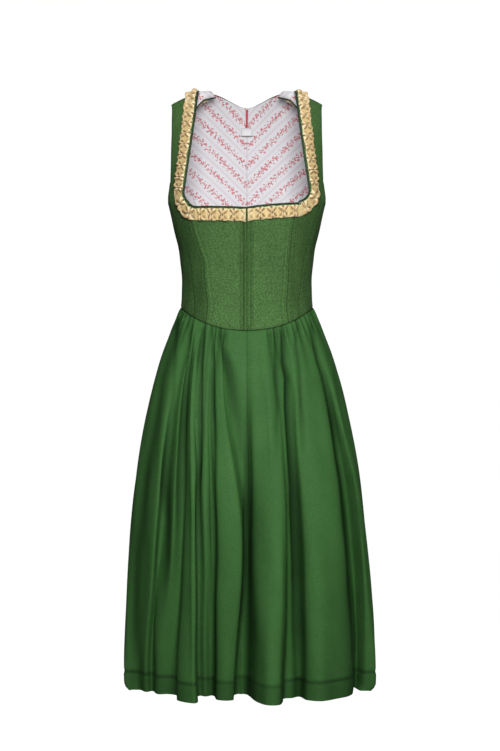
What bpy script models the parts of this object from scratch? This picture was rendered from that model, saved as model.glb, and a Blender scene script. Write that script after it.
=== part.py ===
"""Dirndl dress, filled out as it is worn, with nobody in it.

Metres, +Z up, the front faces -Y and the wearer's left is +X. The origin is midway between the
shoulder straps, at the height of their undersides, where a wearer's shoulders carry the dress.

Every cloth piece is a grid on one surface, the figure: an angle goes round it from the centre
front, and a height runs down to the hem and up over the shoulders. Panels lie between named
seams on it. What lies on a panel is made from the same points, moved out or in.
"""

import math

import bpy
import numpy as np

# Cloth and trim
BODICE_WALL = 0.0015
SKIRT_WALL = 0.0012
LINING_WALL = 0.0010
GAP = 0.0003
LINING_GAP = 0.0006
PIPING_GAP = 0.0009
CREST_GAP = 0.0009
TAPE_GAP = 0.0012
TRIM_LIFT = 0.0018
PIPING_RADIUS = 0.0014
TRIM_WIDTH = 0.022
TRIM_INSET = 0.002
TRIM_THICKNESS = 0.0045
CENTRE_GAP = 0.0012

# Heights
BUST_Z = -0.210
HEM_Z = -1.132
WAIST_SIDE_Z = -0.406
WAIST_FRONT_DIP = 0.046
WAIST_BACK_DIP = 0.012
SKIRT_DRIFT = 0.0065

# Over the shoulders: the crest falls from the neck to the arm, and a quarter turn of
# the vault is ARCH long.
ARCH = 0.235
CREST_AT_CENTRE = 0.0487
CREST_FALL = 0.49

# The ring at each height: half its width, its depth before and behind the side, and how square
FIGURE = (
    # z, half, front, back, square
    (-0.210, 0.1495, 0.120, 0.104, 2.30),
    (-0.238, 0.1427, 0.118, 0.102, 2.30),
    (-0.268, 0.1361, 0.111, 0.100, 2.25),
    (-0.299, 0.1285, 0.103, 0.097, 2.20),
    (-0.329, 0.1247, 0.097, 0.094, 2.15),
    (-0.372, 0.1229, 0.093, 0.092, 2.10),
    (-0.404, 0.1257, 0.095, 0.095, 2.05),
    (-0.450, 0.1436, 0.105, 0.107, 2.00),
    (-0.491, 0.1597, 0.116, 0.119, 2.00),
    (-0.537, 0.1739, 0.126, 0.131, 2.00),
    (-0.605, 0.1905, 0.139, 0.145, 2.00),
    (-0.673, 0.2032, 0.149, 0.156, 2.00),
    (-0.741, 0.2136, 0.158, 0.165, 2.00),
    (-0.809, 0.2211, 0.165, 0.172, 2.00),
    (-0.945, 0.2325, 0.176, 0.182, 2.00),
    (-1.081, 0.2381, 0.183, 0.188, 2.00),
    (-1.140, 0.2365, 0.185, 0.190, 2.00),
)

# Neckline: half its width at each height, then the square front corner
NECK_EDGE = ((-0.196, 0.1180), (-0.152, 0.1115), (-0.100, 0.1040), (-0.055, 0.0985), (0.003, 0.0930))
NECK_CORNER = 0.028
NECK_CORNER_X = 0.090
NECK_FRONT_Z = -0.2295
NECK_RISE = {"right": 0.0035, "left": 0.0100}
BACK_NECK = ((0.0, -0.0184), (0.010, -0.0168), (0.027, -0.0100), (0.053, 0.0005),
             (0.070, 0.0035), (0.084, 0.0040), (0.093, 0.0031))

# Seams: x of the seam at each height
PRINCESS = {
    "right": ((-0.215, 0.108), (-0.261, 0.1003), (-0.298, 0.0893), (-0.323, 0.0811), (-0.351, 0.0780),
              (-0.424, 0.0740)),
    "left": ((-0.215, 0.098), (-0.255, 0.0860), (-0.298, 0.0810), (-0.323, 0.0792), (-0.351, 0.0775),
             (-0.424, 0.0757)),
}
FORE_SIDE = ((-0.220, 0.1375), (-0.250, 0.1270), (-0.290, 0.1160), (-0.330, 0.1050), (-0.370, 0.1010),
             (-0.430, 0.0990))
BACK_PRINCESS = ((-0.140, 0.1280), (-0.180, 0.1100), (-0.240, 0.0830),
                 (-0.300, 0.0620), (-0.360, 0.0500), (-0.430, 0.0440))
SIDE_SEAM = ((-0.190, 103.0), (-0.300, 101.0), (-0.420, 100.0))

# Armhole: height on the figure and angle, then the foot of it
ARM_FRONT = ((0.032, 73.5), (0.060, 72.0), (0.120, 70.5), (0.190, 71.0), (0.236, 73.3))
ARM_BACK = ((0.078, 115.0), (0.120, 113.5), (0.170, 110.5), (0.236, 106.7))
ARM_FOOT = ((73.5, 0.0320), (77.0, 0.0215), (82.0, 0.0145), (90.0, 0.0115), (97.0, 0.0130),
            (103.0, 0.0180), (109.0, 0.0420), (115.0, 0.0780))

# Skirt fold lines. At the hip: the angle, and the share of the ring that the line reaches. At
# mid-skirt and hem: shares of the ring's half width across and of its depth ahead of the side.
HIP_Z = -0.500
MID_Z = -0.800
FOLD_LINES = (
    # name, hip angle, hip reach, mid across, mid ahead, hem across, hem ahead
    ("right_lobe", -88.0, 1.00, -0.998, 0.070, -1.004, -0.116),
    ("right_turn", -80.0, 1.00, -0.985, 0.170, -0.995, -0.045),
    ("right_front_ridge", -59.0, 1.00, -0.838, 0.518, -0.898, -0.042),
    ("flank_ridge", -52.0, 1.00, -0.762, 0.647, -0.829, 0.065),
    ("flank_crease", -47.0, 0.97, -0.720, 0.540, -0.788, 0.022),
    ("flank_panel", -42.5, 0.99, -0.618, 0.748, -0.714, 0.162),
    ("pleat_root", -41.5, 0.96, -0.549, 0.675, -0.588, 0.271),
    ("pleat_left", -39.5, 0.98, -0.518, 0.760, -0.563, 0.563),
    ("pleat_front", -37.0, 0.99, -0.483, 0.841, -0.486, 0.682),
    ("pleat_ridge", -35.6, 1.00, -0.445, 0.896, -0.432, 0.709),
    ("pleat_edge", -34.8, 0.98, -0.426, 0.872, -0.414, 0.639),
    ("hollow_root", -34.0, 0.95, -0.427, 0.765, -0.432, 0.368),
    ("hollow_left", -33.0, 0.95, -0.402, 0.760, -0.399, 0.292),
    ("hollow_ridge", -29.5, 0.98, -0.359, 0.847, -0.351, 0.336),
    ("hollow_right", -26.0, 0.97, -0.318, 0.831, -0.309, 0.281),
    ("panel_root", -24.0, 0.96, -0.298, 0.807, -0.288, 0.336),
    ("panel_left", -22.0, 0.98, -0.264, 0.902, -0.262, 0.530),
    ("panel_ridge", -18.5, 0.99, -0.173, 0.965, -0.191, 0.585),
    ("panel_edge", -16.0, 0.99, -0.066, 0.968, -0.136, 0.541),
    ("centre_root", -15.0, 0.96, -0.040, 0.859, -0.143, 0.325),
    ("centre_left", -12.0, 0.93, -0.026, 0.760, -0.101, 0.195),
    ("centre_front", 0.0, 0.93, -0.014, 0.750, -0.053, 0.217),
    ("centre_right", 3.5, 0.96, 0.024, 0.860, -0.002, 0.390),
    ("bell_rise", 7.5, 0.98, 0.097, 0.925, 0.067, 0.682),
    ("bell_front", 11.5, 1.00, 0.191, 0.966, 0.135, 0.828),
    ("bell_ridge", 15.0, 1.00, 0.269, 0.963, 0.215, 0.817),
    ("bell_edge", 18.0, 0.99, 0.302, 0.922, 0.252, 0.639),
    ("fan_root", 20.0, 0.97, 0.324, 0.840, 0.266, 0.466),
    ("fan_left", 23.0, 0.96, 0.350, 0.802, 0.318, 0.433),
    ("fan_valley", 27.5, 0.95, 0.388, 0.734, 0.377, 0.379),
    ("fan_rise", 30.0, 0.98, 0.453, 0.801, 0.439, 0.547),
    ("fan_front", 37.0, 1.00, 0.552, 0.816, 0.546, 0.606),
    ("fan_middle", 43.5, 1.00, 0.669, 0.743, 0.674, 0.476),
    ("fan_ridge", 48.0, 1.00, 0.759, 0.651, 0.762, 0.341),
    ("fan_edge", 51.5, 0.99, 0.799, 0.559, 0.811, 0.162),
    ("left_root", 55.5, 0.96, 0.816, 0.380, 0.816, -0.030),
    ("left_valley", 60.0, 0.95, 0.859, 0.036, 0.852, -0.170),
    ("left_front_ridge", 64.0, 0.99, 0.944, 0.242, 0.910, 0.010),
    ("left_turn", 80.0, 1.00, 0.990, 0.120, 0.990, 0.005),
    ("left_side", 88.0, 1.00, 1.000, 0.030, 1.000, -0.070),
    ("left_back_turn", 94.0, 1.00, 0.992, -0.090, 0.992, -0.150),
    ("left_back_edge", 99.0, 0.99, 0.965, -0.215, 0.962, -0.270),
    ("left_back_valley", 104.5, 0.96, 0.850, -0.290, 0.770, -0.350),
    ("left_back_rise", 112.0, 0.98, 0.862, -0.380, 0.790, -0.440),
    ("left_back_ridge", 120.0, 1.00, 0.842, -0.540, 0.842, -0.540),
    ("left_back_fall", 128.0, 0.98, 0.715, -0.579, 0.668, -0.541),
    ("left_fan_valley", 134.0, 0.96, 0.619, -0.597, 0.495, -0.495),
    ("left_fan_rise", 140.0, 0.98, 0.610, -0.702, 0.516, -0.637),
    ("left_fan_ridge", 148.0, 1.00, 0.510, -0.849, 0.485, -0.840),
    ("left_fan_edge", 155.0, 0.99, 0.390, -0.877, 0.363, -0.856),
    ("back_left_valley", 161.0, 0.96, 0.298, -0.818, 0.226, -0.620),
    ("back_left_ridge", 170.0, 0.99, 0.170, -0.965, 0.181, -0.933),
    ("centre_back", 180.0, 0.96, 0.015, -0.880, 0.024, -0.680),
    ("back_right_rise", 187.0, 0.98, -0.098, -0.935, -0.075, -0.857),
    ("back_right_ridge", 194.0, 1.00, -0.259, -0.966, -0.276, -0.961),
    ("back_right_fall", 201.0, 0.98, -0.363, -0.856, -0.363, -0.779),
    ("right_fan_valley", 207.0, 0.96, -0.404, -0.759, -0.340, -0.589),
    ("right_fan_rise", 214.0, 0.98, -0.514, -0.763, -0.470, -0.672),
    ("right_fan_ridge", 223.0, 1.00, -0.695, -0.719, -0.693, -0.693),
    ("right_fan_edge", 231.0, 0.98, -0.741, -0.579, -0.728, -0.529),
    ("right_back_valley", 238.0, 0.96, -0.738, -0.461, -0.602, -0.376),
    ("right_back_rise", 245.0, 0.98, -0.836, -0.408, -0.766, -0.390),
    ("right_back_ridge", 256.0, 1.00, -0.966, -0.259, -0.961, -0.276),
    ("right_back_turn", 265.0, 1.00, -0.997, -0.050, -0.997, -0.190),
)
SKIRT_PIECES = (
    ("skirt_front_right", "right_lobe", "centre_front"),
    ("skirt_front_left", "centre_front", "left_side"),
    ("skirt_back_left", "left_side", "centre_back"),
    ("skirt_back_right", "centre_back", "right_lobe"),
)
SKIRT_ROWS = (0.0, 0.035, 0.08, 0.14, 0.22, 0.32, 0.44, 0.57, 0.71, 0.86, 1.0)

# Label and strap ends
LABEL_HALF_WIDTH = 0.0115
LABEL_TOP_Z = -0.0545
LABEL_HEIGHT = 0.0155
ZIP_HALF_WIDTH = 0.012
ZIP_FOOT_Z = -0.446
ZIP_TOP_Z = -0.2305
TURN_TOP = ((0.0910, 0.0020, 0.0005), (0.0840, 0.0045, 0.0032), (0.0710, 0.0105, 0.0030), (0.0625, 0.0180, -0.0030))
TURN_FOOT = ((0.0910, -0.0005, -0.0250), (0.0840, 0.0005, -0.0190), (0.0730, 0.0050, -0.0130),
             (0.0622, 0.0150, -0.0066))

# Rows of the cloth grids: from the waist to the chest, and from the chest over the shoulder,
# closer together in the neckline's corner
LOW_ROWS = tuple(i / 9 for i in range(10))
HIGH_ROWS = (0.0, 0.045, 0.09, 0.14, 0.21, 0.33, 0.49, 0.66, 0.83, 1.0)

COLOURS = {
    # name: colour, roughness
    "bodice_cloth": ((0.050, 0.120, 0.042, 1.0), 0.85),
    "skirt_cloth": ((0.050, 0.135, 0.048, 1.0), 0.55),
    "lining_print": ((0.72, 0.71, 0.74, 1.0), 0.80),
    "gold_trim": ((0.76, 0.52, 0.22, 1.0), 0.45),
    "piping_cord": ((0.008, 0.030, 0.012, 1.0), 0.60),
    "label_tape": ((0.85, 0.85, 0.85, 1.0), 0.60),
    "zip_tape": ((0.020, 0.050, 0.022, 1.0), 0.70),
}


def smooth(xs, ys, x):
    """A curve through the points (xs, ys), with the slope at each from its neighbours."""
    xs, ys = np.asarray(xs, float), np.asarray(ys, float)
    if xs[0] > xs[-1]:
        xs, ys = xs[::-1], ys[::-1]
    slope = np.gradient(ys, xs)
    x = np.clip(x, xs[0], xs[-1])
    i = np.clip(np.searchsorted(xs, x, side="right") - 1, 0, len(xs) - 2)
    span = xs[i + 1] - xs[i]
    k = (x - xs[i]) / span
    return (
        ys[i] * (2 * k**3 - 3 * k**2 + 1)
        + slope[i] * span * (k**3 - 2 * k**2 + k)
        + ys[i + 1] * (3 * k**2 - 2 * k**3)
        + slope[i + 1] * span * (k**3 - k**2)
    )


def rows_of(table, x):
    """The smooth value at x of a table of (x, value) rows."""
    return smooth([row[0] for row in table], [row[1] for row in table], x)


def ring_sizes(z):
    """Half width, front depth, back depth and squareness of the figure at height z."""
    columns = np.array(FIGURE).T
    return [smooth(columns[0], columns[i], z) for i in range(1, 5)]


def crest_z(x):
    return CREST_AT_CENTRE - CREST_FALL * np.abs(x)


def figure(angle, height):
    """The outer face of the cloth. Height is measured from the bust, up the vault or down."""
    angle, height = np.broadcast_arrays(np.asarray(angle, float), np.asarray(height, float))
    low = np.minimum(height, 0.0)
    z = BUST_Z + low
    half, front, back, square = ring_sizes(z)
    t = np.radians(angle)
    power = 2.0 / square
    x = half * np.sign(np.sin(t)) * np.abs(np.sin(t)) ** power
    ahead = np.cos(t) > 0
    y = np.where(ahead, -front, back) * np.abs(np.cos(t)) ** power
    climb = np.maximum(height, 0.0) / ARCH * math.pi / 2
    z = z + (crest_z(x) - BUST_Z) * np.sin(climb)
    y = y * np.cos(climb)
    return np.stack([x, y, z], axis=-1)


def steps(angle, height):
    """How the figure's point moves for a degree of angle and a metre of height."""
    da, dh = 0.05, 0.0005
    round_it = (figure(angle + da, height) - figure(angle - da, height)) / (2 * da)
    up = (figure(angle, height + dh) - figure(angle, height - dh)) / (2 * dh)
    return round_it, up


def normal(angle, height):
    round_it, up = steps(angle, height)
    across = np.cross(round_it, up)
    return across / np.linalg.norm(across, axis=-1, keepdims=True)


def cloth(angle, height, out=0.0):
    """A point of the figure moved out along its normal."""
    return figure(angle, height) + normal(angle, height) * out


def angle_at(x, z, behind=False):
    """The angle where the ring at height z is x wide."""
    half, _, _, square = ring_sizes(np.minimum(z, BUST_Z))
    share = np.clip(np.abs(x) / half, 0.0, 1.0) ** (square / 2.0)
    angle = np.degrees(np.arcsin(share))
    return 180.0 - angle if behind else angle


def height_of(x, z):
    """The height on the figure of a point at x and z."""
    share = np.clip((z - BUST_Z) / (crest_z(x) - BUST_Z), 0.0, 1.0)
    return np.where(z < BUST_Z, z - BUST_Z, np.arcsin(share) * ARCH * 2 / math.pi)


def z_of(angle, height):
    return figure(angle, height)[..., 2]


def seam(table, behind=False, end=None):
    """A seam given by x at each z, as a function from height to angle.

    end is a height and an angle where the seam runs out, at an armhole.
    """
    zs = np.array([row[0] for row in table])
    xs = np.array([row[1] for row in table])
    heights = height_of(xs, zs)
    angles = angle_at(xs, zs, behind)
    if end:
        heights, angles = np.append(end[0], heights), np.append(end[1], angles)
    return lambda h: smooth(heights, angles, h)


def waist(angle):
    """Height of the waist seam."""
    behind = np.cos(np.radians(angle)) < 0
    dip = np.where(behind, WAIST_BACK_DIP, WAIST_FRONT_DIP)
    return WAIST_SIDE_Z - dip * np.cos(np.radians(angle)) ** 2 - BUST_Z


def front_neck(side):
    """The front neckline's foot: height for each angle."""

    def z_at(x):
        rise = NECK_RISE[side] * np.clip(x / NECK_CORNER_X, 0, 1) ** 0.7
        over = np.clip(x - NECK_CORNER_X, 0, NECK_CORNER * 0.98)
        corner = NECK_CORNER - np.sqrt(NECK_CORNER**2 - over**2)
        return NECK_FRONT_Z + rise + corner

    def height(angle):
        x = np.abs(figure(angle, -0.01)[..., 0])
        for _ in range(4):
            x = np.abs(figure(angle, height_of(x, z_at(x)))[..., 0])
        return height_of(x, z_at(x))

    return height


def strap_neck(side):
    """The strap's neck edge: angle for each height, from the corner to the crest."""
    foot = NECK_FRONT_Z + NECK_RISE[side] + NECK_CORNER

    def angle(height):
        z = z_of(45.0, np.minimum(height, ARCH))
        for _ in range(6):
            x = rows_of(NECK_EDGE, z)
            dive = np.clip(foot + 0.003 - z, 0, NECK_CORNER)
            round_off = NECK_CORNER - np.sqrt(np.maximum(NECK_CORNER**2 - dive**2, 0))
            z = z_of(angle_at(x - round_off, z), height)
        return angle_at(x - round_off, z)

    return angle


def back_neck(angle):
    """The back neckline and the shoulder line: height for each angle."""
    x = np.abs(figure(angle, 0.1)[..., 0])
    return np.where(x < BACK_NECK[-1][0], height_of(x, rows_of(BACK_NECK, x)), ARCH)


def grid(left, right, foot, top, across, rows, gaps=(0.5, 0.5, 0.5, 0.5)):
    """Angles and heights of a patch between two seams, a foot and a top.

    left and right give an angle for each height, foot and top a height for each angle, and
    gaps are how many seam gaps the patch stands back from each of them.
    """
    u, v = np.meshgrid(np.linspace(0, 1, across), rows)
    height = np.zeros_like(u)
    angle = u * 0
    for _ in range(25):
        a0, a1 = left(height), right(height)
        wide = np.linalg.norm(figure(a1, height) - figure(a0, height), axis=-1)
        lean = GAP / np.maximum(wide, 0.01)
        angle = a0 + (a1 - a0) * (gaps[0] * lean + u * (1 - (gaps[0] + gaps[1]) * lean))
        h0, h1 = foot(angle) + gaps[2] * GAP, top(angle) - gaps[3] * GAP
        height = h0 + (h1 - h0) * v
    return angle, height


def build_shell(name, points, wall, material, mirror=False, outward=1):
    """An open sheet through a grid of points, given its wall by Solidify."""
    if mirror:
        points = points * np.array([-1.0, 1.0, 1.0])
    rows, columns = points.shape[:2]
    corners = [tuple(p) for p in points.reshape(-1, 3)]
    faces = []
    for r in range(rows - 1):
        for c in range(columns - 1):
            a = r * columns + c
            quad = (a, a + 1, a + columns + 1, a + columns)
            faces.append(quad if (not mirror) == (outward > 0) else quad[::-1])
    mesh = bpy.data.meshes.new(name)
    mesh.from_pydata(corners, [], faces)
    mesh.update()
    item = place(name, mesh, material)
    solid = item.modifiers.new("wall", "SOLIDIFY")
    solid.thickness = wall
    solid.offset = -1.0
    solid.use_even_offset = False
    mesh.shade_smooth()
    return item


def build_tube(name, points, radius, material, mirror=False):
    """A cord through a list of points."""
    curve = bpy.data.curves.new(name, "CURVE")
    curve.dimensions = "3D"
    curve.bevel_depth = radius
    curve.bevel_resolution = 2
    curve.use_fill_caps = True
    line = curve.splines.new("POLY")
    line.points.add(len(points) - 1)
    for point, spot in zip(line.points, points):
        point.co = (-spot[0] if mirror else spot[0], spot[1], spot[2], 1.0)
    return place(name, curve, material)


def place(name, data, material):
    item = bpy.data.objects.new(name, data)
    item.data.materials.append(bpy.data.materials[material])
    DRESS.objects.link(item)
    return item


def walk(angle, height, way, distance):
    """Go a distance over the figure from each point, in the direction way."""
    parts = 4
    for _ in range(parts):
        round_it, up = steps(angle, height)
        face = normal(angle, height)
        way = way - face * np.sum(way * face, axis=-1, keepdims=True)
        way = way / np.linalg.norm(way, axis=-1, keepdims=True)
        rr = np.sum(round_it * round_it, axis=-1)
        uu = np.sum(up * up, axis=-1)
        ru = np.sum(round_it * up, axis=-1)
        rw = np.sum(round_it * way, axis=-1)
        uw = np.sum(up * way, axis=-1)
        scale = rr * uu - ru * ru
        angle = angle + (rw * uu - uw * ru) / scale * distance / parts
        height = height + (uw * rr - rw * ru) / scale * distance / parts
    return angle, height


def edge_directions(angle, height, sign):
    """For points along a neck edge, the way over the cloth, away from the neck."""
    spots = figure(angle, height)
    along = np.gradient(spots, axis=0)
    return sign * np.cross(normal(angle, height), along)


def build_neck_finish(place_name, side, mirror, angle, height, sign):
    """Piping along a neck edge, from the centre to the crest, and the ruched trim beside it."""
    way = edge_directions(angle, height, sign)
    way = way / np.linalg.norm(way, axis=1, keepdims=True)
    spots = cloth(angle, height, -BODICE_WALL / 2) - way * (PIPING_RADIUS + PIPING_GAP)
    spots[0, 0] = PIPING_RADIUS
    build_tube(f"{place_name}_piping_{side}", spots, PIPING_RADIUS, "piping_cord", mirror)
    sheet = []
    for share in (0.0, 0.33, 0.67, 1.0):
        a, h = walk(angle, height, way, TRIM_INSET + share * TRIM_WIDTH)
        sheet.append(cloth(a, np.minimum(h, ARCH - CREST_GAP), TRIM_LIFT + TRIM_THICKNESS))
    sheet = np.stack(sheet)
    sheet[:, 0, 0] = np.maximum(sheet[:, 0, 0], CENTRE_GAP)
    sheet = sheet[::-1] if sign < 0 else sheet
    build_shell(f"{place_name}_trim_{side}", sheet, TRIM_THICKNESS, "gold_trim", mirror)


def side_seam(height):
    return rows_of(SIDE_SEAM, BUST_Z + height)


def foot_top(angle):
    return rows_of(ARM_FOOT, angle)


def crest(angle):
    return np.full_like(angle, ARCH)


def centre_front(height):
    return np.zeros_like(height)


def centre_back(height):
    return np.full_like(height, 180.0)


def build_bodice(side, mirror):
    """The five panels of one half from the centre front round to the centre back.

    With them come the pieces made from their points: the back lining, the piping and the trim.
    """
    princess = seam(PRINCESS[side])
    fore_side = seam(FORE_SIDE, end=ARM_FRONT[0])
    back_princess = seam(BACK_PRINCESS, True, ARM_BACK[0])
    split = angle_at(PRINCESS[side][0][1], BUST_Z)
    neck = front_neck(side)
    corner = float(neck(split))
    arm_start, chest_end = ARM_FRONT[0]

    def arm_top(h):
        return np.where(h < arm_start, fore_side(h), rows_of(ARM_FRONT, h))

    def arm_back(h):
        return np.where(h < ARM_BACK[0][0], back_princess(h), rows_of(ARM_BACK, h))

    def chest(a):
        return corner + (arm_start - corner) * (a - split) / (chest_end - split)

    def level(a):
        return np.full_like(a, ARM_BACK[0][0])

    def panel(name, angle, height):
        build_shell(f"{name}_{side}", cloth(angle, height), BODICE_WALL, "bodice_cloth", mirror)

    def lining(name, angle, height):
        points = cloth(angle, height, -BODICE_WALL - LINING_GAP)
        build_shell(f"{name}_{side}", points, LINING_WALL, "lining_print", mirror)

    front_angle, front_height = grid(centre_front, princess, waist, neck, 7, LOW_ROWS, (1, 0.5, 0.5, 0))
    panel("front_centre", front_angle, front_height)
    a, h = grid(princess, fore_side, waist, chest, 7, LOW_ROWS, (0.5, 2.0, 0.5, 0))
    b, k = grid(strap_neck(side), arm_top, chest, crest, 7, HIGH_ROWS, (0, 0, 0, 7))
    panel("front_side", np.vstack([a, b[1:]]), np.vstack([h, k[1:]]))
    edge = np.concatenate([front_angle[-1], b[1:, 0]]), np.concatenate([front_height[-1], k[1:, 0]])
    build_neck_finish("neck", side, mirror, *edge, -1.0)

    panel("side", *grid(fore_side, side_seam, waist, foot_top, 9, LOW_ROWS, (2.0, 0.6, 0.5, 0)))
    a, h = grid(side_seam, back_princess, waist, foot_top, 6, LOW_ROWS, (0.6, 0.6, 0.5, 0))
    panel("back_side", a, h)
    lining("lining_back_side", a, h)
    a, h = grid(back_princess, centre_back, waist, level, 8, LOW_ROWS, (0.8, 0.8, 0.5, 0))
    b, k = grid(arm_back, centre_back, level, back_neck, 8, HIGH_ROWS, (0, 0.8, 0, 7))
    panel("back_centre", np.vstack([a, b[1:]]), np.vstack([h, k[1:]]))
    lining("lining_back", np.vstack([a, b[1:]]), np.vstack([h, k[1:]]))
    on_neck = np.abs(figure(b[-1], k[-1])[:, 0]) < BACK_NECK[-1][0]
    build_neck_finish("back", side, mirror, b[-1][on_neck][::-1], k[-1][on_neck][::-1], 1.0)


def build_label():
    """A blank label across the centre back, on the lining."""
    xs = np.linspace(-LABEL_HALF_WIDTH, LABEL_HALF_WIDTH, 5)
    zs = np.linspace(LABEL_TOP_Z - LABEL_HEIGHT, LABEL_TOP_Z, 3)
    x, z = np.meshgrid(xs, zs)
    angle = 180.0 - np.sign(x) * (180.0 - angle_at(x, z, True))
    inward = BODICE_WALL + LINING_WALL + TAPE_GAP
    points = cloth(angle, height_of(x, z), -inward)
    build_shell("neck_label", points[:, ::-1], 0.0008, "label_tape")


def build_zip():
    """The concealed zip's tape behind the centre front opening."""
    zs = np.linspace(ZIP_FOOT_Z, ZIP_TOP_Z, 9)
    x, z = np.meshgrid(np.linspace(-ZIP_HALF_WIDTH, ZIP_HALF_WIDTH, 5), zs)
    angle = np.sign(x) * angle_at(x, z)
    points = cloth(angle, height_of(x, z), -BODICE_WALL - TAPE_GAP)
    build_shell("front_zip", points, LINING_WALL, "zip_tape")


def build_strap_turn(side, mirror):
    """The strap's rear end, rolled in over the shoulder with its lining to the front."""
    top, foot = np.array(TURN_TOP), np.array(TURN_FOOT)
    count = 7
    share = np.linspace(0, 1, count)
    own = np.linspace(0, 1, len(top))
    upper = np.stack([smooth(own, top[:, i], share) for i in range(3)], axis=1)
    lower = np.stack([smooth(own, foot[:, i], share) for i in range(3)], axis=1)
    rows = []
    for k in (0.0, 0.33, 0.67, 1.0):
        bulge = np.array([0.0, -0.0035, 0.0]) * math.sin(math.pi * k)
        rows.append(lower + (upper - lower) * k + bulge * np.sin(math.pi * share)[:, None] ** 0.5)
    build_shell(f"strap_turn_{side}", np.stack(rows), LINING_WALL, "lining_print", mirror, -1)
    drop = np.array([0.0, 0.0, -PIPING_RADIUS - PIPING_GAP])
    build_tube(f"turn_piping_{side}", lower + drop, PIPING_RADIUS * 0.8, "piping_cord", mirror)
    hem = lower[1:5] + np.array([0.0, 0.0035, -0.0055])
    ridge = hem + np.array([0.0, 0.0, 0.0075])
    build_shell(f"turn_trim_{side}", np.stack([hem, ridge]), 0.002, "gold_trim", mirror, -1)


def skirt_knots(share):
    """The fold lines' points on one ring of the skirt, a share of the way from waist to hem."""
    hips, reach, mid_across, mid_ahead, hem_across, hem_ahead = np.array([row[1:] for row in FOLD_LINES]).T
    z = (BUST_Z + waist(hips)) * (1 - share) + HEM_Z * share - 1.5 * GAP * (1 - share)
    turn = np.radians(hips)
    knots = []
    for i, level in enumerate(z):
        near = smooth((HIP_Z, HIP_Z + 0.06), (reach[i], 1.0), level)
        marks = (HEM_Z, MID_Z, HIP_Z, HIP_Z + 0.06)
        high_across, high_ahead = near * math.sin(turn[i]), near * math.cos(turn[i])
        across = smooth(marks, (hem_across[i], mid_across[i], high_across, high_across), level)
        ahead = smooth(marks, (hem_ahead[i], mid_ahead[i], high_ahead, high_ahead), level)
        half, front, back, _ = ring_sizes(level)
        knots.append((across * half, -ahead * (front if ahead > 0 else back), level))
    knots = np.array(knots)
    drop = np.clip((WAIST_SIDE_Z - z) / (WAIST_SIDE_Z - HEM_Z), 0, 1)
    knots[:, 0] += SKIRT_DRIFT * drop**1.5
    return knots


def build_skirt():
    """Four skirt pieces, each a stretch of the folded rings from seam to seam."""
    rings = np.stack([skirt_knots(share) for share in reversed(SKIRT_ROWS)])
    names = [row[0] for row in FOLD_LINES]
    total = rings.shape[1]
    for name, first, last in SKIRT_PIECES:
        start, stop = names.index(first), names.index(last)
        if stop <= start:
            stop += total
        piece = rings[:, [i % total for i in range(start, stop + 1)]].copy()
        for edge, inner in ((0, 1), (-1, -2)):
            way = piece[:, inner] - piece[:, edge]
            piece[:, edge] += way / np.linalg.norm(way, axis=1, keepdims=True) * GAP * 0.9
        build_shell(name, piece, SKIRT_WALL, "skirt_cloth")


def make_materials():
    for name, (colour, roughness) in COLOURS.items():
        material = bpy.data.materials.new(name)
        material.use_nodes = True
        shader = material.node_tree.nodes["Principled BSDF"]
        shader.inputs["Base Color"].default_value = colour
        shader.inputs["Roughness"].default_value = roughness
        shader.inputs["Metallic"].default_value = 0.0


for old in list(bpy.data.objects):
    bpy.data.objects.remove(old, do_unlink=True)
DRESS = bpy.data.collections.new("dirndl_dress")
bpy.context.scene.collection.children.link(DRESS)

make_materials()
for hand, flipped in (("left", False), ("right", True)):
    build_bodice(hand, flipped)
    build_strap_turn(hand, flipped)
build_label()
build_zip()
build_skirt()
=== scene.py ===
"""Dirndl dress: the cloth, trim, piping and lining as they look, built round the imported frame.

Metres, +Z up, the front faces -Y, the wearer's left is +X, and the origin is midway between the
shoulder straps at the height of their undersides.
"""

import math

import bpy
import numpy as np
from bpy.props import FloatProperty, FloatVectorProperty, PointerProperty
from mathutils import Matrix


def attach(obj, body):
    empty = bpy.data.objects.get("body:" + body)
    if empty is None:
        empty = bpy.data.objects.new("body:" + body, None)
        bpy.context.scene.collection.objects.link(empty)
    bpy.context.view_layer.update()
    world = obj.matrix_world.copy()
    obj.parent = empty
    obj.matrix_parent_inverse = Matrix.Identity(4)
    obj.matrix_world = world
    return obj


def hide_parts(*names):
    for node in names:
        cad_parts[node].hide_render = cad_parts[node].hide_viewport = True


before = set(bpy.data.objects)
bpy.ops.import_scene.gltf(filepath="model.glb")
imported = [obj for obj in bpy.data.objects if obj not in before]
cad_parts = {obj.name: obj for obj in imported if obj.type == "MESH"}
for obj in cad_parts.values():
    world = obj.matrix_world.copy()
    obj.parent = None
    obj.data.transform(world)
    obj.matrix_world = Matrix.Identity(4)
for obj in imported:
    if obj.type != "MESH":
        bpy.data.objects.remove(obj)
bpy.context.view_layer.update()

bl_info = {
    "name": "Dirndl Dress",
    "version": (1, 0, 0),
    "blender": (4, 5, 0),
    "location": "View3D > Sidebar > Dirndl",
    "description": "Builds a dirndl dress panel by panel, filled out as it is worn",
    "category": "Object",
}

BODY = "root"
GAP = 0.0003

# ---------------------------------------------------------------------------
# The figure: one surface that every cloth piece lies on
# ---------------------------------------------------------------------------

BUST_Z = -0.210
HEM_Z = -1.132
WAIST_SIDE_Z = -0.406
WAIST_FRONT_DIP = 0.046
WAIST_BACK_DIP = 0.012
SKIRT_DRIFT = 0.0065
ARCH = 0.235
CREST_AT_CENTRE = 0.0487
CREST_FALL = 0.49

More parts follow.
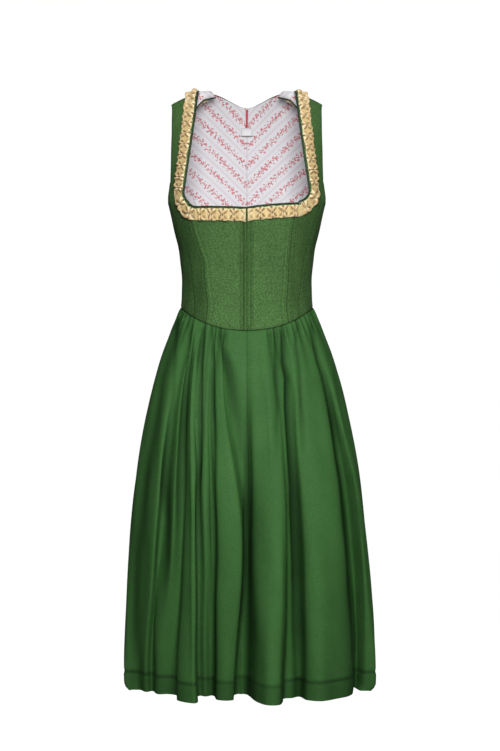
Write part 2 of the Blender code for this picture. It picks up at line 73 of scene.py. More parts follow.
# The ring at each height: half its width, its depth before and behind the side, and how square
FIGURE = (
    # z, half, front, back, square
    (-0.210, 0.1495, 0.120, 0.104, 2.30),
    (-0.238, 0.1427, 0.118, 0.102, 2.30),
    (-0.268, 0.1361, 0.111, 0.100, 2.25),
    (-0.299, 0.1285, 0.103, 0.097, 2.20),
    (-0.329, 0.1247, 0.097, 0.094, 2.15),
    (-0.372, 0.1229, 0.093, 0.092, 2.10),
    (-0.404, 0.1257, 0.095, 0.095, 2.05),
    (-0.450, 0.1436, 0.105, 0.107, 2.00),
    (-0.491, 0.1597, 0.116, 0.119, 2.00),
    (-0.537, 0.1739, 0.126, 0.131, 2.00),
    (-0.605, 0.1905, 0.139, 0.145, 2.00),
    (-0.673, 0.2032, 0.149, 0.156, 2.00),
    (-0.741, 0.2136, 0.158, 0.165, 2.00),
    (-0.809, 0.2211, 0.165, 0.172, 2.00),
    (-0.945, 0.2325, 0.176, 0.182, 2.00),
    (-1.081, 0.2381, 0.183, 0.188, 2.00),
    (-1.140, 0.2365, 0.185, 0.190, 2.00),
)

# Neckline
NECK_EDGE = ((-0.196, 0.1180), (-0.152, 0.1115), (-0.100, 0.1040), (-0.055, 0.0985), (0.003, 0.0930))
NECK_CORNER = 0.028
NECK_CORNER_X = 0.090
NECK_FRONT_Z = -0.2295
NECK_RISE = {"right": 0.0035, "left": 0.0100}
BACK_NECK = ((0.0, -0.0184), (0.010, -0.0168), (0.027, -0.0100), (0.053, 0.0005),
             (0.070, 0.0035), (0.084, 0.0040), (0.093, 0.0031))

# Seams: x at each height
PRINCESS = {
    "right": ((-0.215, 0.108), (-0.261, 0.1003), (-0.298, 0.0893), (-0.323, 0.0811), (-0.351, 0.0780),
              (-0.424, 0.0740)),
    "left": ((-0.215, 0.098), (-0.255, 0.0860), (-0.298, 0.0810), (-0.323, 0.0792), (-0.351, 0.0775),
             (-0.424, 0.0757)),
}
FORE_SIDE = ((-0.220, 0.1375), (-0.250, 0.1270), (-0.290, 0.1160), (-0.330, 0.1050), (-0.370, 0.1010),
             (-0.430, 0.0990))
BACK_PRINCESS = ((-0.140, 0.1280), (-0.180, 0.1100), (-0.240, 0.0830),
                 (-0.300, 0.0620), (-0.360, 0.0500), (-0.430, 0.0440))
SIDE_SEAM = ((-0.190, 103.0), (-0.300, 101.0), (-0.420, 100.0))

# Armhole: height on the figure and angle, then the foot of it
ARM_FRONT = ((0.032, 73.5), (0.060, 72.0), (0.120, 70.5), (0.190, 71.0), (0.236, 73.3))
ARM_BACK = ((0.078, 115.0), (0.120, 113.5), (0.170, 110.5), (0.236, 106.7))
ARM_FOOT = ((73.5, 0.0320), (77.0, 0.0215), (82.0, 0.0145), (90.0, 0.0115), (97.0, 0.0130),
            (103.0, 0.0180), (109.0, 0.0420), (115.0, 0.0780))

# Skirt fold lines. At the hip: the angle, and the share of the ring that the line reaches. At
# mid-skirt and hem: shares of the ring's half width across and of its depth ahead of the side.
HIP_Z = -0.500
MID_Z = -0.800
FOLD_LINES = (
    # name, hip angle, hip reach, mid across, mid ahead, hem across, hem ahead
    ("right_lobe", -88.0, 1.00, -0.998, 0.070, -1.004, -0.116),
    ("right_turn", -80.0, 1.00, -0.985, 0.170, -0.995, -0.045),
    ("right_front_ridge", -59.0, 1.00, -0.838, 0.518, -0.898, -0.042),
    ("flank_ridge", -52.0, 1.00, -0.762, 0.647, -0.829, 0.065),
    ("flank_crease", -47.0, 0.97, -0.720, 0.540, -0.788, 0.022),
    ("flank_panel", -42.5, 0.99, -0.618, 0.748, -0.714, 0.162),
    ("pleat_root", -41.5, 0.96, -0.549, 0.675, -0.588, 0.271),
    ("pleat_left", -39.5, 0.98, -0.518, 0.760, -0.563, 0.563),
    ("pleat_front", -37.0, 0.99, -0.483, 0.841, -0.486, 0.682),
    ("pleat_ridge", -35.6, 1.00, -0.445, 0.896, -0.432, 0.709),
    ("pleat_edge", -34.8, 0.98, -0.426, 0.872, -0.414, 0.639),
    ("hollow_root", -34.0, 0.95, -0.427, 0.765, -0.432, 0.368),
    ("hollow_left", -33.0, 0.95, -0.402, 0.760, -0.399, 0.292),
    ("hollow_ridge", -29.5, 0.98, -0.359, 0.847, -0.351, 0.336),
    ("hollow_right", -26.0, 0.97, -0.318, 0.831, -0.309, 0.281),
    ("panel_root", -24.0, 0.96, -0.298, 0.807, -0.288, 0.336),
    ("panel_left", -22.0, 0.98, -0.264, 0.902, -0.262, 0.530),
    ("panel_ridge", -18.5, 0.99, -0.173, 0.965, -0.191, 0.585),
    ("panel_edge", -16.0, 0.99, -0.066, 0.968, -0.136, 0.541),
    ("centre_root", -15.0, 0.96, -0.040, 0.859, -0.143, 0.325),
    ("centre_left", -12.0, 0.93, -0.026, 0.760, -0.101, 0.195),
    ("centre_front", 0.0, 0.93, -0.014, 0.750, -0.053, 0.217),
    ("centre_right", 3.5, 0.96, 0.024, 0.860, -0.002, 0.390),
    ("bell_rise", 7.5, 0.98, 0.097, 0.925, 0.067, 0.682),
    ("bell_front", 11.5, 1.00, 0.191, 0.966, 0.135, 0.828),
    ("bell_ridge", 15.0, 1.00, 0.269, 0.963, 0.215, 0.817),
    ("bell_edge", 18.0, 0.99, 0.302, 0.922, 0.252, 0.639),
    ("fan_root", 20.0, 0.97, 0.324, 0.840, 0.266, 0.466),
    ("fan_left", 23.0, 0.96, 0.350, 0.802, 0.318, 0.433),
    ("fan_valley", 27.5, 0.95, 0.388, 0.734, 0.377, 0.379),
    ("fan_rise", 30.0, 0.98, 0.453, 0.801, 0.439, 0.547),
    ("fan_front", 37.0, 1.00, 0.552, 0.816, 0.546, 0.606),
    ("fan_middle", 43.5, 1.00, 0.669, 0.743, 0.674, 0.476),
    ("fan_ridge", 48.0, 1.00, 0.759, 0.651, 0.762, 0.341),
    ("fan_edge", 51.5, 0.99, 0.799, 0.559, 0.811, 0.162),
    ("left_root", 55.5, 0.96, 0.816, 0.380, 0.816, -0.030),
    ("left_valley", 60.0, 0.95, 0.859, 0.036, 0.852, -0.170),
    ("left_front_ridge", 64.0, 0.99, 0.944, 0.242, 0.910, 0.010),
    ("left_turn", 80.0, 1.00, 0.990, 0.120, 0.990, 0.005),
    ("left_side", 88.0, 1.00, 1.000, 0.030, 1.000, -0.070),
    ("left_back_turn", 94.0, 1.00, 0.992, -0.090, 0.992, -0.150),
    ("left_back_edge", 99.0, 0.99, 0.965, -0.215, 0.962, -0.270),
    ("left_back_valley", 104.5, 0.96, 0.850, -0.290, 0.770, -0.350),
    ("left_back_rise", 112.0, 0.98, 0.862, -0.380, 0.790, -0.440),
    ("left_back_ridge", 120.0, 1.00, 0.842, -0.540, 0.842, -0.540),
    ("left_back_fall", 128.0, 0.98, 0.715, -0.579, 0.668, -0.541),
    ("left_fan_valley", 134.0, 0.96, 0.619, -0.597, 0.495, -0.495),
    ("left_fan_rise", 140.0, 0.98, 0.610, -0.702, 0.516, -0.637),
    ("left_fan_ridge", 148.0, 1.00, 0.510, -0.849, 0.485, -0.840),
    ("left_fan_edge", 155.0, 0.99, 0.390, -0.877, 0.363, -0.856),
    ("back_left_valley", 161.0, 0.96, 0.298, -0.818, 0.226, -0.620),
    ("back_left_ridge", 170.0, 0.99, 0.170, -0.965, 0.181, -0.933),
    ("centre_back", 180.0, 0.96, 0.015, -0.880, 0.024, -0.680),
    ("back_right_rise", 187.0, 0.98, -0.098, -0.935, -0.075, -0.857),
    ("back_right_ridge", 194.0, 1.00, -0.259, -0.966, -0.276, -0.961),
    ("back_right_fall", 201.0, 0.98, -0.363, -0.856, -0.363, -0.779),
    ("right_fan_valley", 207.0, 0.96, -0.404, -0.759, -0.340, -0.589),
    ("right_fan_rise", 214.0, 0.98, -0.514, -0.763, -0.470, -0.672),
    ("right_fan_ridge", 223.0, 1.00, -0.695, -0.719, -0.693, -0.693),
    ("right_fan_edge", 231.0, 0.98, -0.741, -0.579, -0.728, -0.529),
    ("right_back_valley", 238.0, 0.96, -0.738, -0.461, -0.602, -0.376),
    ("right_back_rise", 245.0, 0.98, -0.836, -0.408, -0.766, -0.390),
    ("right_back_ridge", 256.0, 1.00, -0.966, -0.259, -0.961, -0.276),
    ("right_back_turn", 265.0, 1.00, -0.997, -0.050, -0.997, -0.190),
)
SKIRT_PIECES = (
    ("skirt_front_right", "right_lobe", "centre_front"),
    ("skirt_front_left", "centre_front", "left_side"),
    ("skirt_back_left", "left_side", "centre_back"),
    ("skirt_back_right", "centre_back", "right_lobe"),
)

# Gathers under the waist seam: angle, depth and length of each small crease, as they were sewn
FRONT_GATHERS = (
    # angle, depth, length
    (-43.0, 0.0026, 0.060), (-35.6, 0.0030, 0.075), (-31.6, 0.0026, 0.050), (-26.9, 0.0034, 0.085),
    (-22.5, 0.0028, 0.045), (-20.2, 0.0022, 0.030), (20.9, 0.0024, 0.060), (22.9, 0.0032, 0.095),
    (27.7, 0.0026, 0.060), (29.7, 0.0034, 0.085), (32.7, 0.0026, 0.050), (35.5, 0.0030, 0.070),
    (40.4, 0.0026, 0.050), (46.0, 0.0022, 0.045), (51.0, 0.0026, 0.060),
)
GATHER_STEP = 4.6
# Soft troughs and ridges down the front of the skirt, each from the hem up, in metres:
# height, place across, width to the right and to the left of it, how far out
# The troughs also get painted shade by their depth
FRONT_FOLDS = {
    "flank_shade": (
        (-1.12, -0.215, 0.007, 0.014, -0.0024), (-1.01, -0.214, 0.007, 0.014, -0.0036),
        (-0.87, -0.206, 0.007, 0.014, -0.0036), (-0.74, -0.192, 0.007, 0.013, -0.0036),
        (-0.63, -0.174, 0.005, 0.011, -0.0036), (-0.54, -0.160, 0.005, 0.009, -0.0024),
        (-0.46, -0.135, 0.005, 0.007, -0.0024),
    ),
    "flank_fold": (
        (-1.12, -0.150, 0.007, 0.011, 0.0000), (-1.01, -0.151, 0.007, 0.011, 0.0000),
        (-0.94, -0.151, 0.007, 0.011, -0.0012), (-0.87, -0.149, 0.007, 0.011, -0.0036),
        (-0.80, -0.150, 0.005, 0.011, -0.0048), (-0.74, -0.152, 0.005, 0.011, -0.0048),
        (-0.69, -0.150, 0.005, 0.009, -0.0048), (-0.63, -0.143, 0.005, 0.007, -0.0036),
        (-0.59, -0.138, 0.005, 0.005, -0.0024), (-0.54, -0.136, 0.005, 0.005, -0.0012),
    ),
    "flank_rise": (
        (-1.12, -0.164, 0.009, 0.009, 0.0060), (-1.01, -0.163, 0.009, 0.009, 0.0060),
        (-0.94, -0.162, 0.009, 0.009, 0.0036), (-0.87, -0.160, 0.009, 0.009, 0.0000),
    ),
    "pleat_shade": (
        (-1.12, -0.130, 0.007, 0.007, 0.0000), (-1.01, -0.129, 0.007, 0.007, 0.0000),
        (-0.87, -0.124, 0.007, 0.009, -0.0012), (-0.80, -0.123, 0.007, 0.009, -0.0024),
        (-0.74, -0.121, 0.007, 0.009, -0.0036), (-0.69, -0.119, 0.007, 0.009, -0.0036),
        (-0.63, -0.116, 0.007, 0.007, -0.0048), (-0.59, -0.114, 0.007, 0.007, -0.0048),
        (-0.54, -0.111, 0.005, 0.007, -0.0036), (-0.51, -0.109, 0.005, 0.007, -0.0036),
        (-0.48, -0.107, 0.004, 0.005, -0.0024), (-0.46, -0.108, 0.004, 0.005, -0.0018),
    ),
    "pleat_crest": (
        (-1.12, -0.094, 0.005, 0.005, 0.0018), (-1.01, -0.097, 0.005, 0.005, 0.0030),
        (-0.87, -0.097, 0.005, 0.005, 0.0030), (-0.74, -0.097, 0.005, 0.005, 0.0036),
        (-0.63, -0.096, 0.005, 0.005, 0.0036), (-0.54, -0.094, 0.005, 0.005, 0.0024),
        (-0.48, -0.095, 0.005, 0.005, 0.0018),
    ),
    "pleat_crease": (
        (-1.12, -0.089, 0.004, 0.004, 0.0000), (-0.98, -0.090, 0.004, 0.004, 0.0000),
        (-0.87, -0.090, 0.004, 0.005, -0.0024), (-0.80, -0.090, 0.004, 0.005, -0.0036),
        (-0.74, -0.090, 0.004, 0.005, -0.0048), (-0.69, -0.087, 0.004, 0.005, -0.0060),
        (-0.63, -0.085, 0.004, 0.005, -0.0060), (-0.59, -0.085, 0.004, 0.004, -0.0048),
        (-0.54, -0.085, 0.004, 0.004, -0.0036), (-0.51, -0.085, 0.004, 0.004, -0.0036),
        (-0.48, -0.082, 0.004, 0.004, -0.0036), (-0.44, -0.078, 0.004, 0.004, -0.0012),
    ),
    "hollow_crest": (
        (-0.87, -0.074, 0.005, 0.005, 0.0000), (-0.76, -0.074, 0.005, 0.005, 0.0024),
        (-0.63, -0.074, 0.005, 0.005, 0.0030), (-0.54, -0.071, 0.004, 0.004, 0.0018),
        (-0.49, -0.071, 0.004, 0.004, 0.0012),
    ),
    "hollow_crease": (
        (-1.12, -0.062, 0.004, 0.007, -0.0024), (-1.01, -0.062, 0.004, 0.007, -0.0036),
        (-0.94, -0.061, 0.005, 0.006, -0.0036), (-0.87, -0.059, 0.005, 0.006, -0.0036),
        (-0.74, -0.061, 0.005, 0.005, -0.0036), (-0.63, -0.061, 0.004, 0.005, -0.0048),
        (-0.59, -0.063, 0.004, 0.005, -0.0060), (-0.54, -0.063, 0.004, 0.004, -0.0048),
        (-0.51, -0.062, 0.003, 0.003, -0.0036), (-0.45, -0.064, 0.003, 0.003, -0.0012),
    ),
    "panel_shade": (
        (-0.74, -0.007, 0.005, 0.005, 0.0000), (-0.69, -0.010, 0.007, 0.007, -0.0012),
        (-0.63, -0.014, 0.009, 0.009, -0.0024), (-0.59, -0.023, 0.009, 0.011, -0.0036),
        (-0.54, -0.031, 0.007, 0.011, -0.0048), (-0.51, -0.036, 0.007, 0.009, -0.0048),
        (-0.48, -0.047, 0.005, 0.007, -0.0036), (-0.45, -0.049, 0.004, 0.005, -0.0018),
    ),
    "centre_fall": (
        (-1.12, 0.001, 0.007, 0.011, -0.0024), (-1.06, 0.002, 0.007, 0.011, -0.0036),
        (-1.01, 0.001, 0.007, 0.013, -0.0048), (-0.94, -0.001, 0.006, 0.014, -0.0048),
        (-0.87, -0.001, 0.005, 0.014, -0.0060), (-0.80, -0.001, 0.004, 0.016, -0.0060),
        (-0.74, -0.001, 0.004, 0.015, -0.0048), (-0.69, -0.001, 0.004, 0.013, -0.0036),
        (-0.63, -0.001, 0.004, 0.011, -0.0024), (-0.59, -0.001, 0.004, 0.009, -0.0012),
        (-0.54, 0.001, 0.004, 0.007, 0.0000),
    ),
    "bell_shade": (
        (-1.01, 0.028, 0.014, 0.014, 0.0000), (-0.94, 0.028, 0.014, 0.014, 0.0000),
        (-0.87, 0.028, 0.014, 0.018, -0.0012), (-0.80, 0.028, 0.011, 0.022, -0.0012),
        (-0.74, 0.026, 0.011, 0.018, -0.0012), (-0.69, 0.028, 0.011, 0.018, -0.0012),
        (-0.65, 0.028, 0.011, 0.018, 0.0000),
    ),
    "bell_crest": (
        (-0.76, 0.046, 0.005, 0.005, 0.0000), (-0.71, 0.046, 0.005, 0.005, 0.0012),
        (-0.63, 0.044, 0.007, 0.007, 0.0030), (-0.58, 0.041, 0.007, 0.009, 0.0030),
        (-0.49, 0.028, 0.009, 0.009, 0.0006),
    ),
    "bell_crease": (
        (-0.71, 0.057, 0.004, 0.004, 0.0000), (-0.63, 0.057, 0.005, 0.005, -0.0012),
        (-0.59, 0.059, 0.005, 0.005, -0.0024), (-0.54, 0.055, 0.005, 0.005, -0.0036),
        (-0.51, 0.054, 0.004, 0.004, -0.0030), (-0.48, 0.052, 0.004, 0.004, -0.0024),
        (-0.45, 0.050, 0.003, 0.004, -0.0012),
    ),
    "fan_crease": (
        (-1.12, 0.097, 0.009, 0.011, -0.0036), (-1.06, 0.099, 0.009, 0.011, -0.0036),
        (-1.01, 0.096, 0.009, 0.013, -0.0048), (-0.94, 0.094, 0.009, 0.013, -0.0048),
        (-0.87, 0.091, 0.008, 0.013, -0.0060), (-0.80, 0.088, 0.008, 0.013, -0.0060),
        (-0.74, 0.086, 0.007, 0.011, -0.0060), (-0.69, 0.081, 0.005, 0.009, -0.0072),
        (-0.63, 0.077, 0.005, 0.007, -0.0072), (-0.59, 0.075, 0.005, 0.005, -0.0072),
        (-0.54, 0.074, 0.004, 0.004, -0.0060), (-0.51, 0.068, 0.004, 0.004, -0.0048),
        (-0.48, 0.066, 0.004, 0.004, -0.0036), (-0.45, 0.066, 0.003, 0.003, -0.0018),
    ),
    "fan_crest": (
        (-0.71, 0.097, 0.005, 0.005, 0.0000), (-0.63, 0.093, 0.005, 0.005, 0.0024),
        (-0.58, 0.092, 0.005, 0.005, 0.0036), (-0.49, 0.083, 0.005, 0.005, 0.0012),
    ),
    "fan_line": (
        (-0.71, 0.104, 0.004, 0.004, 0.0000), (-0.63, 0.103, 0.005, 0.005, -0.0018),
        (-0.59, 0.101, 0.004, 0.004, -0.0024), (-0.54, 0.099, 0.004, 0.004, -0.0024),
        (-0.51, 0.097, 0.004, 0.004, -0.0024), (-0.48, 0.092, 0.004, 0.004, -0.0018),
        (-0.44, 0.094, 0.004, 0.004, -0.0012),
    ),
    "turn_crease": (
        (-1.12, 0.203, 0.005, 0.005, 0.0000), (-1.01, 0.200, 0.005, 0.005, -0.0024),
        (-0.94, 0.194, 0.007, 0.007, -0.0036), (-0.87, 0.190, 0.006, 0.007, -0.0036),
        (-0.80, 0.184, 0.007, 0.006, -0.0036), (-0.74, 0.178, 0.006, 0.006, -0.0048),
        (-0.69, 0.171, 0.007, 0.005, -0.0060), (-0.63, 0.163, 0.006, 0.005, -0.0060),
        (-0.59, 0.156, 0.005, 0.005, -0.0048), (-0.54, 0.145, 0.004, 0.005, -0.0036),
        (-0.51, 0.134, 0.004, 0.005, -0.0036), (-0.48, 0.127, 0.004, 0.005, -0.0024),
        (-0.43, 0.120, 0.004, 0.005, -0.0012),
    ),
    "turn_line": (
        (-1.12, 0.221, 0.005, 0.007, -0.0012), (-0.94, 0.219, 0.005, 0.007, -0.0012),
        (-0.80, 0.209, 0.005, 0.007, -0.0012), (-0.69, 0.193, 0.004, 0.005, -0.0012),
        (-0.63, 0.183, 0.004, 0.004, -0.0012), (-0.59, 0.176, 0.004, 0.004, -0.0012),
        (-0.54, 0.167, 0.004, 0.004, -0.0012), (-0.52, 0.163, 0.004, 0.004, 0.0000),
    ),
}
# Trough depth at which a fold's painted shade is full
FULL_SHADE_DEPTH = 0.0055
SMOOTH_FRONT = 52.0


def smooth(xs, ys, x):
    """A curve through the points (xs, ys), with the slope at each from its neighbours."""
    xs, ys = np.asarray(xs, float), np.asarray(ys, float)
    if xs[0] > xs[-1]:
        xs, ys = xs[::-1], ys[::-1]
    slope = np.gradient(ys, xs)
    x = np.clip(x, xs[0], xs[-1])
    i = np.clip(np.searchsorted(xs, x, side="right") - 1, 0, len(xs) - 2)
    span = xs[i + 1] - xs[i]
    k = (x - xs[i]) / span
    return (
        ys[i] * (2 * k**3 - 3 * k**2 + 1)
        + slope[i] * span * (k**3 - 2 * k**2 + k)
        + ys[i + 1] * (3 * k**2 - 2 * k**3)
        + slope[i + 1] * span * (k**3 - k**2)
    )


def rows_of(table, x):
    """The smooth value at x of a table of (x, value) rows."""
    return smooth([row[0] for row in table], [row[1] for row in table], x)


def bump(x, centre, width):
    """A soft hump of height 1 at centre."""
    return np.exp(-(((x - centre) / width) ** 2))


def fade(x, start, end):
    """0 before start, 1 after end, and soft between them."""
    k = np.clip((x - start) / (end - start), 0.0, 1.0)
    return k * k * (3 - 2 * k)


def ring_sizes(z):
    """Half width, front depth, back depth and squareness of the figure at height z."""
    columns = np.array(FIGURE).T
    return [smooth(columns[0], columns[i], z) for i in range(1, 5)]


def crest_z(x):
    return CREST_AT_CENTRE - CREST_FALL * np.abs(x)


def figure(angle, height):
    """The outer face of the cloth. Height is measured from the bust, up the vault or down."""
    angle, height = np.broadcast_arrays(np.asarray(angle, float), np.asarray(height, float))
    z = BUST_Z + np.minimum(height, 0.0)
    half, front, back, square = ring_sizes(z)
    t = np.radians(angle)
    power = 2.0 / square
    x = half * np.sign(np.sin(t)) * np.abs(np.sin(t)) ** power
    y = np.where(np.cos(t) > 0, -front, back) * np.abs(np.cos(t)) ** power
    climb = np.maximum(height, 0.0) / ARCH * math.pi / 2
    z = z + (crest_z(x) - BUST_Z) * np.sin(climb)
    return np.stack([x, y * np.cos(climb), z], axis=-1)


def steps(angle, height):
    """How the figure's point moves for a degree of angle and a metre of height."""
    da, dh = 0.05, 0.0005
    round_it = (figure(angle + da, height) - figure(angle - da, height)) / (2 * da)
    up = (figure(angle, height + dh) - figure(angle, height - dh)) / (2 * dh)
    return round_it, up


def normal(angle, height):
    round_it, up = steps(angle, height)
    across = np.cross(round_it, up)
    return across / np.linalg.norm(across, axis=-1, keepdims=True)


def cloth(angle, height, out=0.0):
    """A point of the figure moved out along its normal."""
    return figure(angle, height) + normal(angle, height) * np.asarray(out)[..., None]


def angle_at(x, z, behind=False):
    """The angle where the ring at height z is x wide."""
    half, _, _, square = ring_sizes(np.minimum(z, BUST_Z))
    share = np.clip(np.abs(x) / half, 0.0, 1.0) ** (square / 2.0)
    angle = np.degrees(np.arcsin(share))
    return 180.0 - angle if behind else angle


def height_of(x, z):
    """The height on the figure of a point at x and z."""
    share = np.clip((z - BUST_Z) / (crest_z(x) - BUST_Z), 0.0, 1.0)
    return np.where(z < BUST_Z, z - BUST_Z, np.arcsin(share) * ARCH * 2 / math.pi)


def seam(table, behind=False, end=None):
    """A seam given by x at each z, as a function from height to angle."""
    zs = np.array([row[0] for row in table])
    xs = np.array([row[1] for row in table])
    heights = height_of(xs, zs)
    angles = angle_at(xs, zs, behind)
    if end:
        heights, angles = np.append(end[0], heights), np.append(end[1], angles)
    return lambda h: smooth(heights, angles, h)


def waist(angle):
    """Height of the waist seam."""
    behind = np.cos(np.radians(angle)) < 0
    dip = np.where(behind, WAIST_BACK_DIP, WAIST_FRONT_DIP)
    return WAIST_SIDE_Z - dip * np.cos(np.radians(angle)) ** 2 - BUST_Z


def front_neck(side):
    """The front neckline's foot: height for each angle."""

    def z_at(x):
        rise = NECK_RISE[side] * np.clip(x / NECK_CORNER_X, 0, 1) ** 0.7
        over = np.clip(x - NECK_CORNER_X, 0, NECK_CORNER * 0.98)
        return NECK_FRONT_Z + rise + NECK_CORNER - np.sqrt(NECK_CORNER**2 - over**2)

    def height(angle):
        x = np.abs(figure(angle, -0.01)[..., 0])
        for _ in range(4):
            x = np.abs(figure(angle, height_of(x, z_at(x)))[..., 0])
        return height_of(x, z_at(x))

    return height


def strap_neck(side):
    """The strap's neck edge: angle for each height, from the corner to the crest."""
    foot = NECK_FRONT_Z + NECK_RISE[side] + NECK_CORNER

    def angle(height):
        z = figure(45.0, np.minimum(height, ARCH))[..., 2]
        for _ in range(6):
            dive = np.clip(foot + 0.003 - z, 0, NECK_CORNER)
            round_off = NECK_CORNER - np.sqrt(np.maximum(NECK_CORNER**2 - dive**2, 0))
            x = rows_of(NECK_EDGE, z) - round_off
            z = figure(angle_at(x, z), height)[..., 2]
        return angle_at(x, z)

    return angle


def back_neck(angle):
    """The back neckline and the shoulder line: height for each angle."""
    x = np.abs(figure(angle, 0.1)[..., 0])
    return np.where(x < BACK_NECK[-1][0], height_of(x, rows_of(BACK_NECK, x)), ARCH)


def shares(wide, edges, count):
    """Where a row's points stand across a panel, as shares of its width.

    edges are distances from either seam, so seam details keep their size on every row.
    """
    near = np.array(edges)[None, :] / wide
    middle = np.linspace(0, 1, count + 2)[None, 1:-1]
    start, stop = near[:, -1:], 1 - near[:, -1:]
    return np.hstack([near, start + (stop - start) * middle, 1 - near[:, ::-1]])


def grid(left, right, foot, top, edges, count, rows, gaps):
    """Angles and heights of a patch between two seams, a foot and a top."""
    columns = 2 * len(edges) + count
    height = np.zeros((len(rows), columns))
    u = np.tile(np.linspace(0, 1, columns), (len(rows), 1))
    angle = height
    for _ in range(25):
        a0, a1 = left(height), right(height)
        wide = np.linalg.norm(figure(a1, height) - figure(a0, height), axis=-1)
        wide = np.maximum(wide, 2.5 * edges[-1])
        u = shares(wide.mean(axis=1)[:, None], edges, count)
        lean = GAP / wide
        angle = a0 + (a1 - a0) * (gaps[0] * lean + u * (1 - (gaps[0] + gaps[1]) * lean))
        h0, h1 = foot(angle) + gaps[2] * GAP, top(angle) - gaps[3] * GAP
        height = h0 + (h1 - h0) * np.asarray(rows)[:, None]
    return angle, height


def walk(angle, height, way, distance):
    """Go a distance over the figure from each point, in the direction way."""
    parts = 4
    for _ in range(parts):
        round_it, up = steps(angle, height)
        face = normal(angle, height)
        way = way - face * np.sum(way * face, axis=-1, keepdims=True)
        way = way / np.linalg.norm(way, axis=-1, keepdims=True)
        rr = np.sum(round_it * round_it, axis=-1)
        uu = np.sum(up * up, axis=-1)
        ru = np.sum(round_it * up, axis=-1)
        rw = np.sum(round_it * way, axis=-1)
        uw = np.sum(up * way, axis=-1)
        scale = rr * uu - ru * ru
        angle = angle + (rw * uu - uw * ru) / scale * distance / parts
        height = height + (uw * rr - rw * ru) / scale * distance / parts
    return angle, height


def even_line(angle, height, count):
    """The same line with count points evenly spaced along it, and its length."""
    spots = figure(angle, height)
    run = np.concatenate([[0], np.cumsum(np.linalg.norm(np.diff(spots, axis=0), axis=1))])
    where = np.linspace(0, run[-1], count)
    return np.interp(where, run, angle), np.interp(where, run, height), run[-1]


def front_neck_line(side):
    """The front neckline from the centre front up to the crest of the shoulder."""
    split = float(angle_at(PRINCESS[side][0][1], BUST_Z))
    low_angle = np.linspace(0.35, split, 60)
    low_height = front_neck(side)(low_angle)
    high_height = np.linspace(low_height[-1], ARCH - 3 * GAP, 140)[1:]
    high_angle = strap_neck(side)(high_height)
    ahead = figure(high_angle, high_height)[:, 0] > figure(low_angle, low_height)[-1, 0] + 0.001
    ahead |= high_height > low_height[-1] + NECK_CORNER
    angles = np.concatenate([low_angle, high_angle[ahead]])
    return angles, np.concatenate([low_height, high_height[ahead]])


def back_neck_line():
    """The back neckline from the centre back to the crest."""
    angle = np.linspace(179.7, angle_at(BACK_NECK[-1][0], BUST_Z, True) + 0.05, 120)
    return angle, back_neck(angle) - 7 * GAP


def edge_way(angle, height, sign):
    """For points along a neck edge, the way over the cloth, away from the neck."""
    along = np.gradient(figure(angle, height), axis=0)
    way = sign * np.cross(normal(angle, height), along)
    return way / np.linalg.norm(way, axis=1, keepdims=True)


def closed_curve(knots, fine):
    """A smooth closed curve through knots, with fine steps between neighbours."""
    around = np.vstack([knots[-2:], knots, knots[:3]])
    t = np.concatenate([[0], np.cumsum(np.linalg.norm(np.diff(around, axis=0), axis=1) ** 0.5)])
    ahead = np.diff(around, axis=0) / np.diff(t)[:, None]
    span = np.diff(t)[:, None]
    slope = np.zeros_like(around)
    slope[1:-1] = (ahead[1:] * span[:-1] + ahead[:-1] * span[1:]) / (span[1:] + span[:-1])
    k = (np.arange(fine) / fine)[None, :, None]
    i = np.arange(2, 2 + len(knots))
    d = span[i][:, None]
    points = (
        around[i][:, None] * (2 * k**3 - 3 * k**2 + 1)
        + slope[i][:, None] * d * (k**3 - 2 * k**2 + k)
        + around[i + 1][:, None] * (3 * k**2 - 2 * k**3)
        + slope[i + 1][:, None] * d * (k**3 - k**2)
    )
    return points.reshape(-1, 3)


def skirt_knots(share):
    """The fold lines' points on one ring of the skirt, a share of the way from waist to hem."""
    lines = np.array([row[1:] for row in FOLD_LINES])
    hips, reach, mid_across, mid_ahead, hem_across, hem_ahead = lines.T
    z = (BUST_Z + waist(hips)) * (1 - share) + HEM_Z * share - 1.5 * GAP * (1 - share)
    turn = np.radians(hips)
    knots = []
    for i, level in enumerate(z):
        near = smooth((HIP_Z, HIP_Z + 0.06), (reach[i], 1.0), level)
        marks = (HEM_Z, MID_Z, HIP_Z, HIP_Z + 0.06)
        high_across, high_ahead = near * math.sin(turn[i]), near * math.cos(turn[i])
        across = smooth(marks, (hem_across[i], mid_across[i], high_across, high_across), level)
        ahead = smooth(marks, (hem_ahead[i], mid_ahead[i], high_ahead, high_ahead), level)
        half, front, back, _ = ring_sizes(level)
        knots.append((across * half, -ahead * (front if ahead > 0 else back), level))
    knots = np.array(knots)
    drop = np.clip((WAIST_SIDE_Z - z) / (WAIST_SIDE_Z - HEM_Z), 0, 1)
    knots[:, 0] += SKIRT_DRIFT * drop**1.5
    return knots


def skirt_ring(share, fine):
    """One ring of the skirt, with fine steps between its fold lines."""
    return closed_curve(skirt_knots(share), fine)


# ---------------------------------------------------------------------------
# Meshes
# ---------------------------------------------------------------------------


def run_lengths(points, axis):
    """How far each point of a grid is along its row or column, in metres."""
    pace = np.linalg.norm(np.diff(points, axis=axis), axis=-1)
    start = np.zeros_like(np.take(pace, [0], axis=axis))
    return np.concatenate([start, np.cumsum(pace, axis=axis)], axis=axis)


def cut_of(points):
    """The flat width, length and area of a sheet that has the shape of a grid."""
    width = run_lengths(points, 1)[:, -1].max()
    length = run_lengths(points, 0)[-1].max()
    a, b = np.diff(points[:-1], axis=1), np.diff(points[:, :-1], axis=0)
    area = np.linalg.norm(np.cross(a, b), axis=-1).sum()
    return (round(float(width), 4), round(float(length), 4)), round(float(min(area, width * length)), 5)


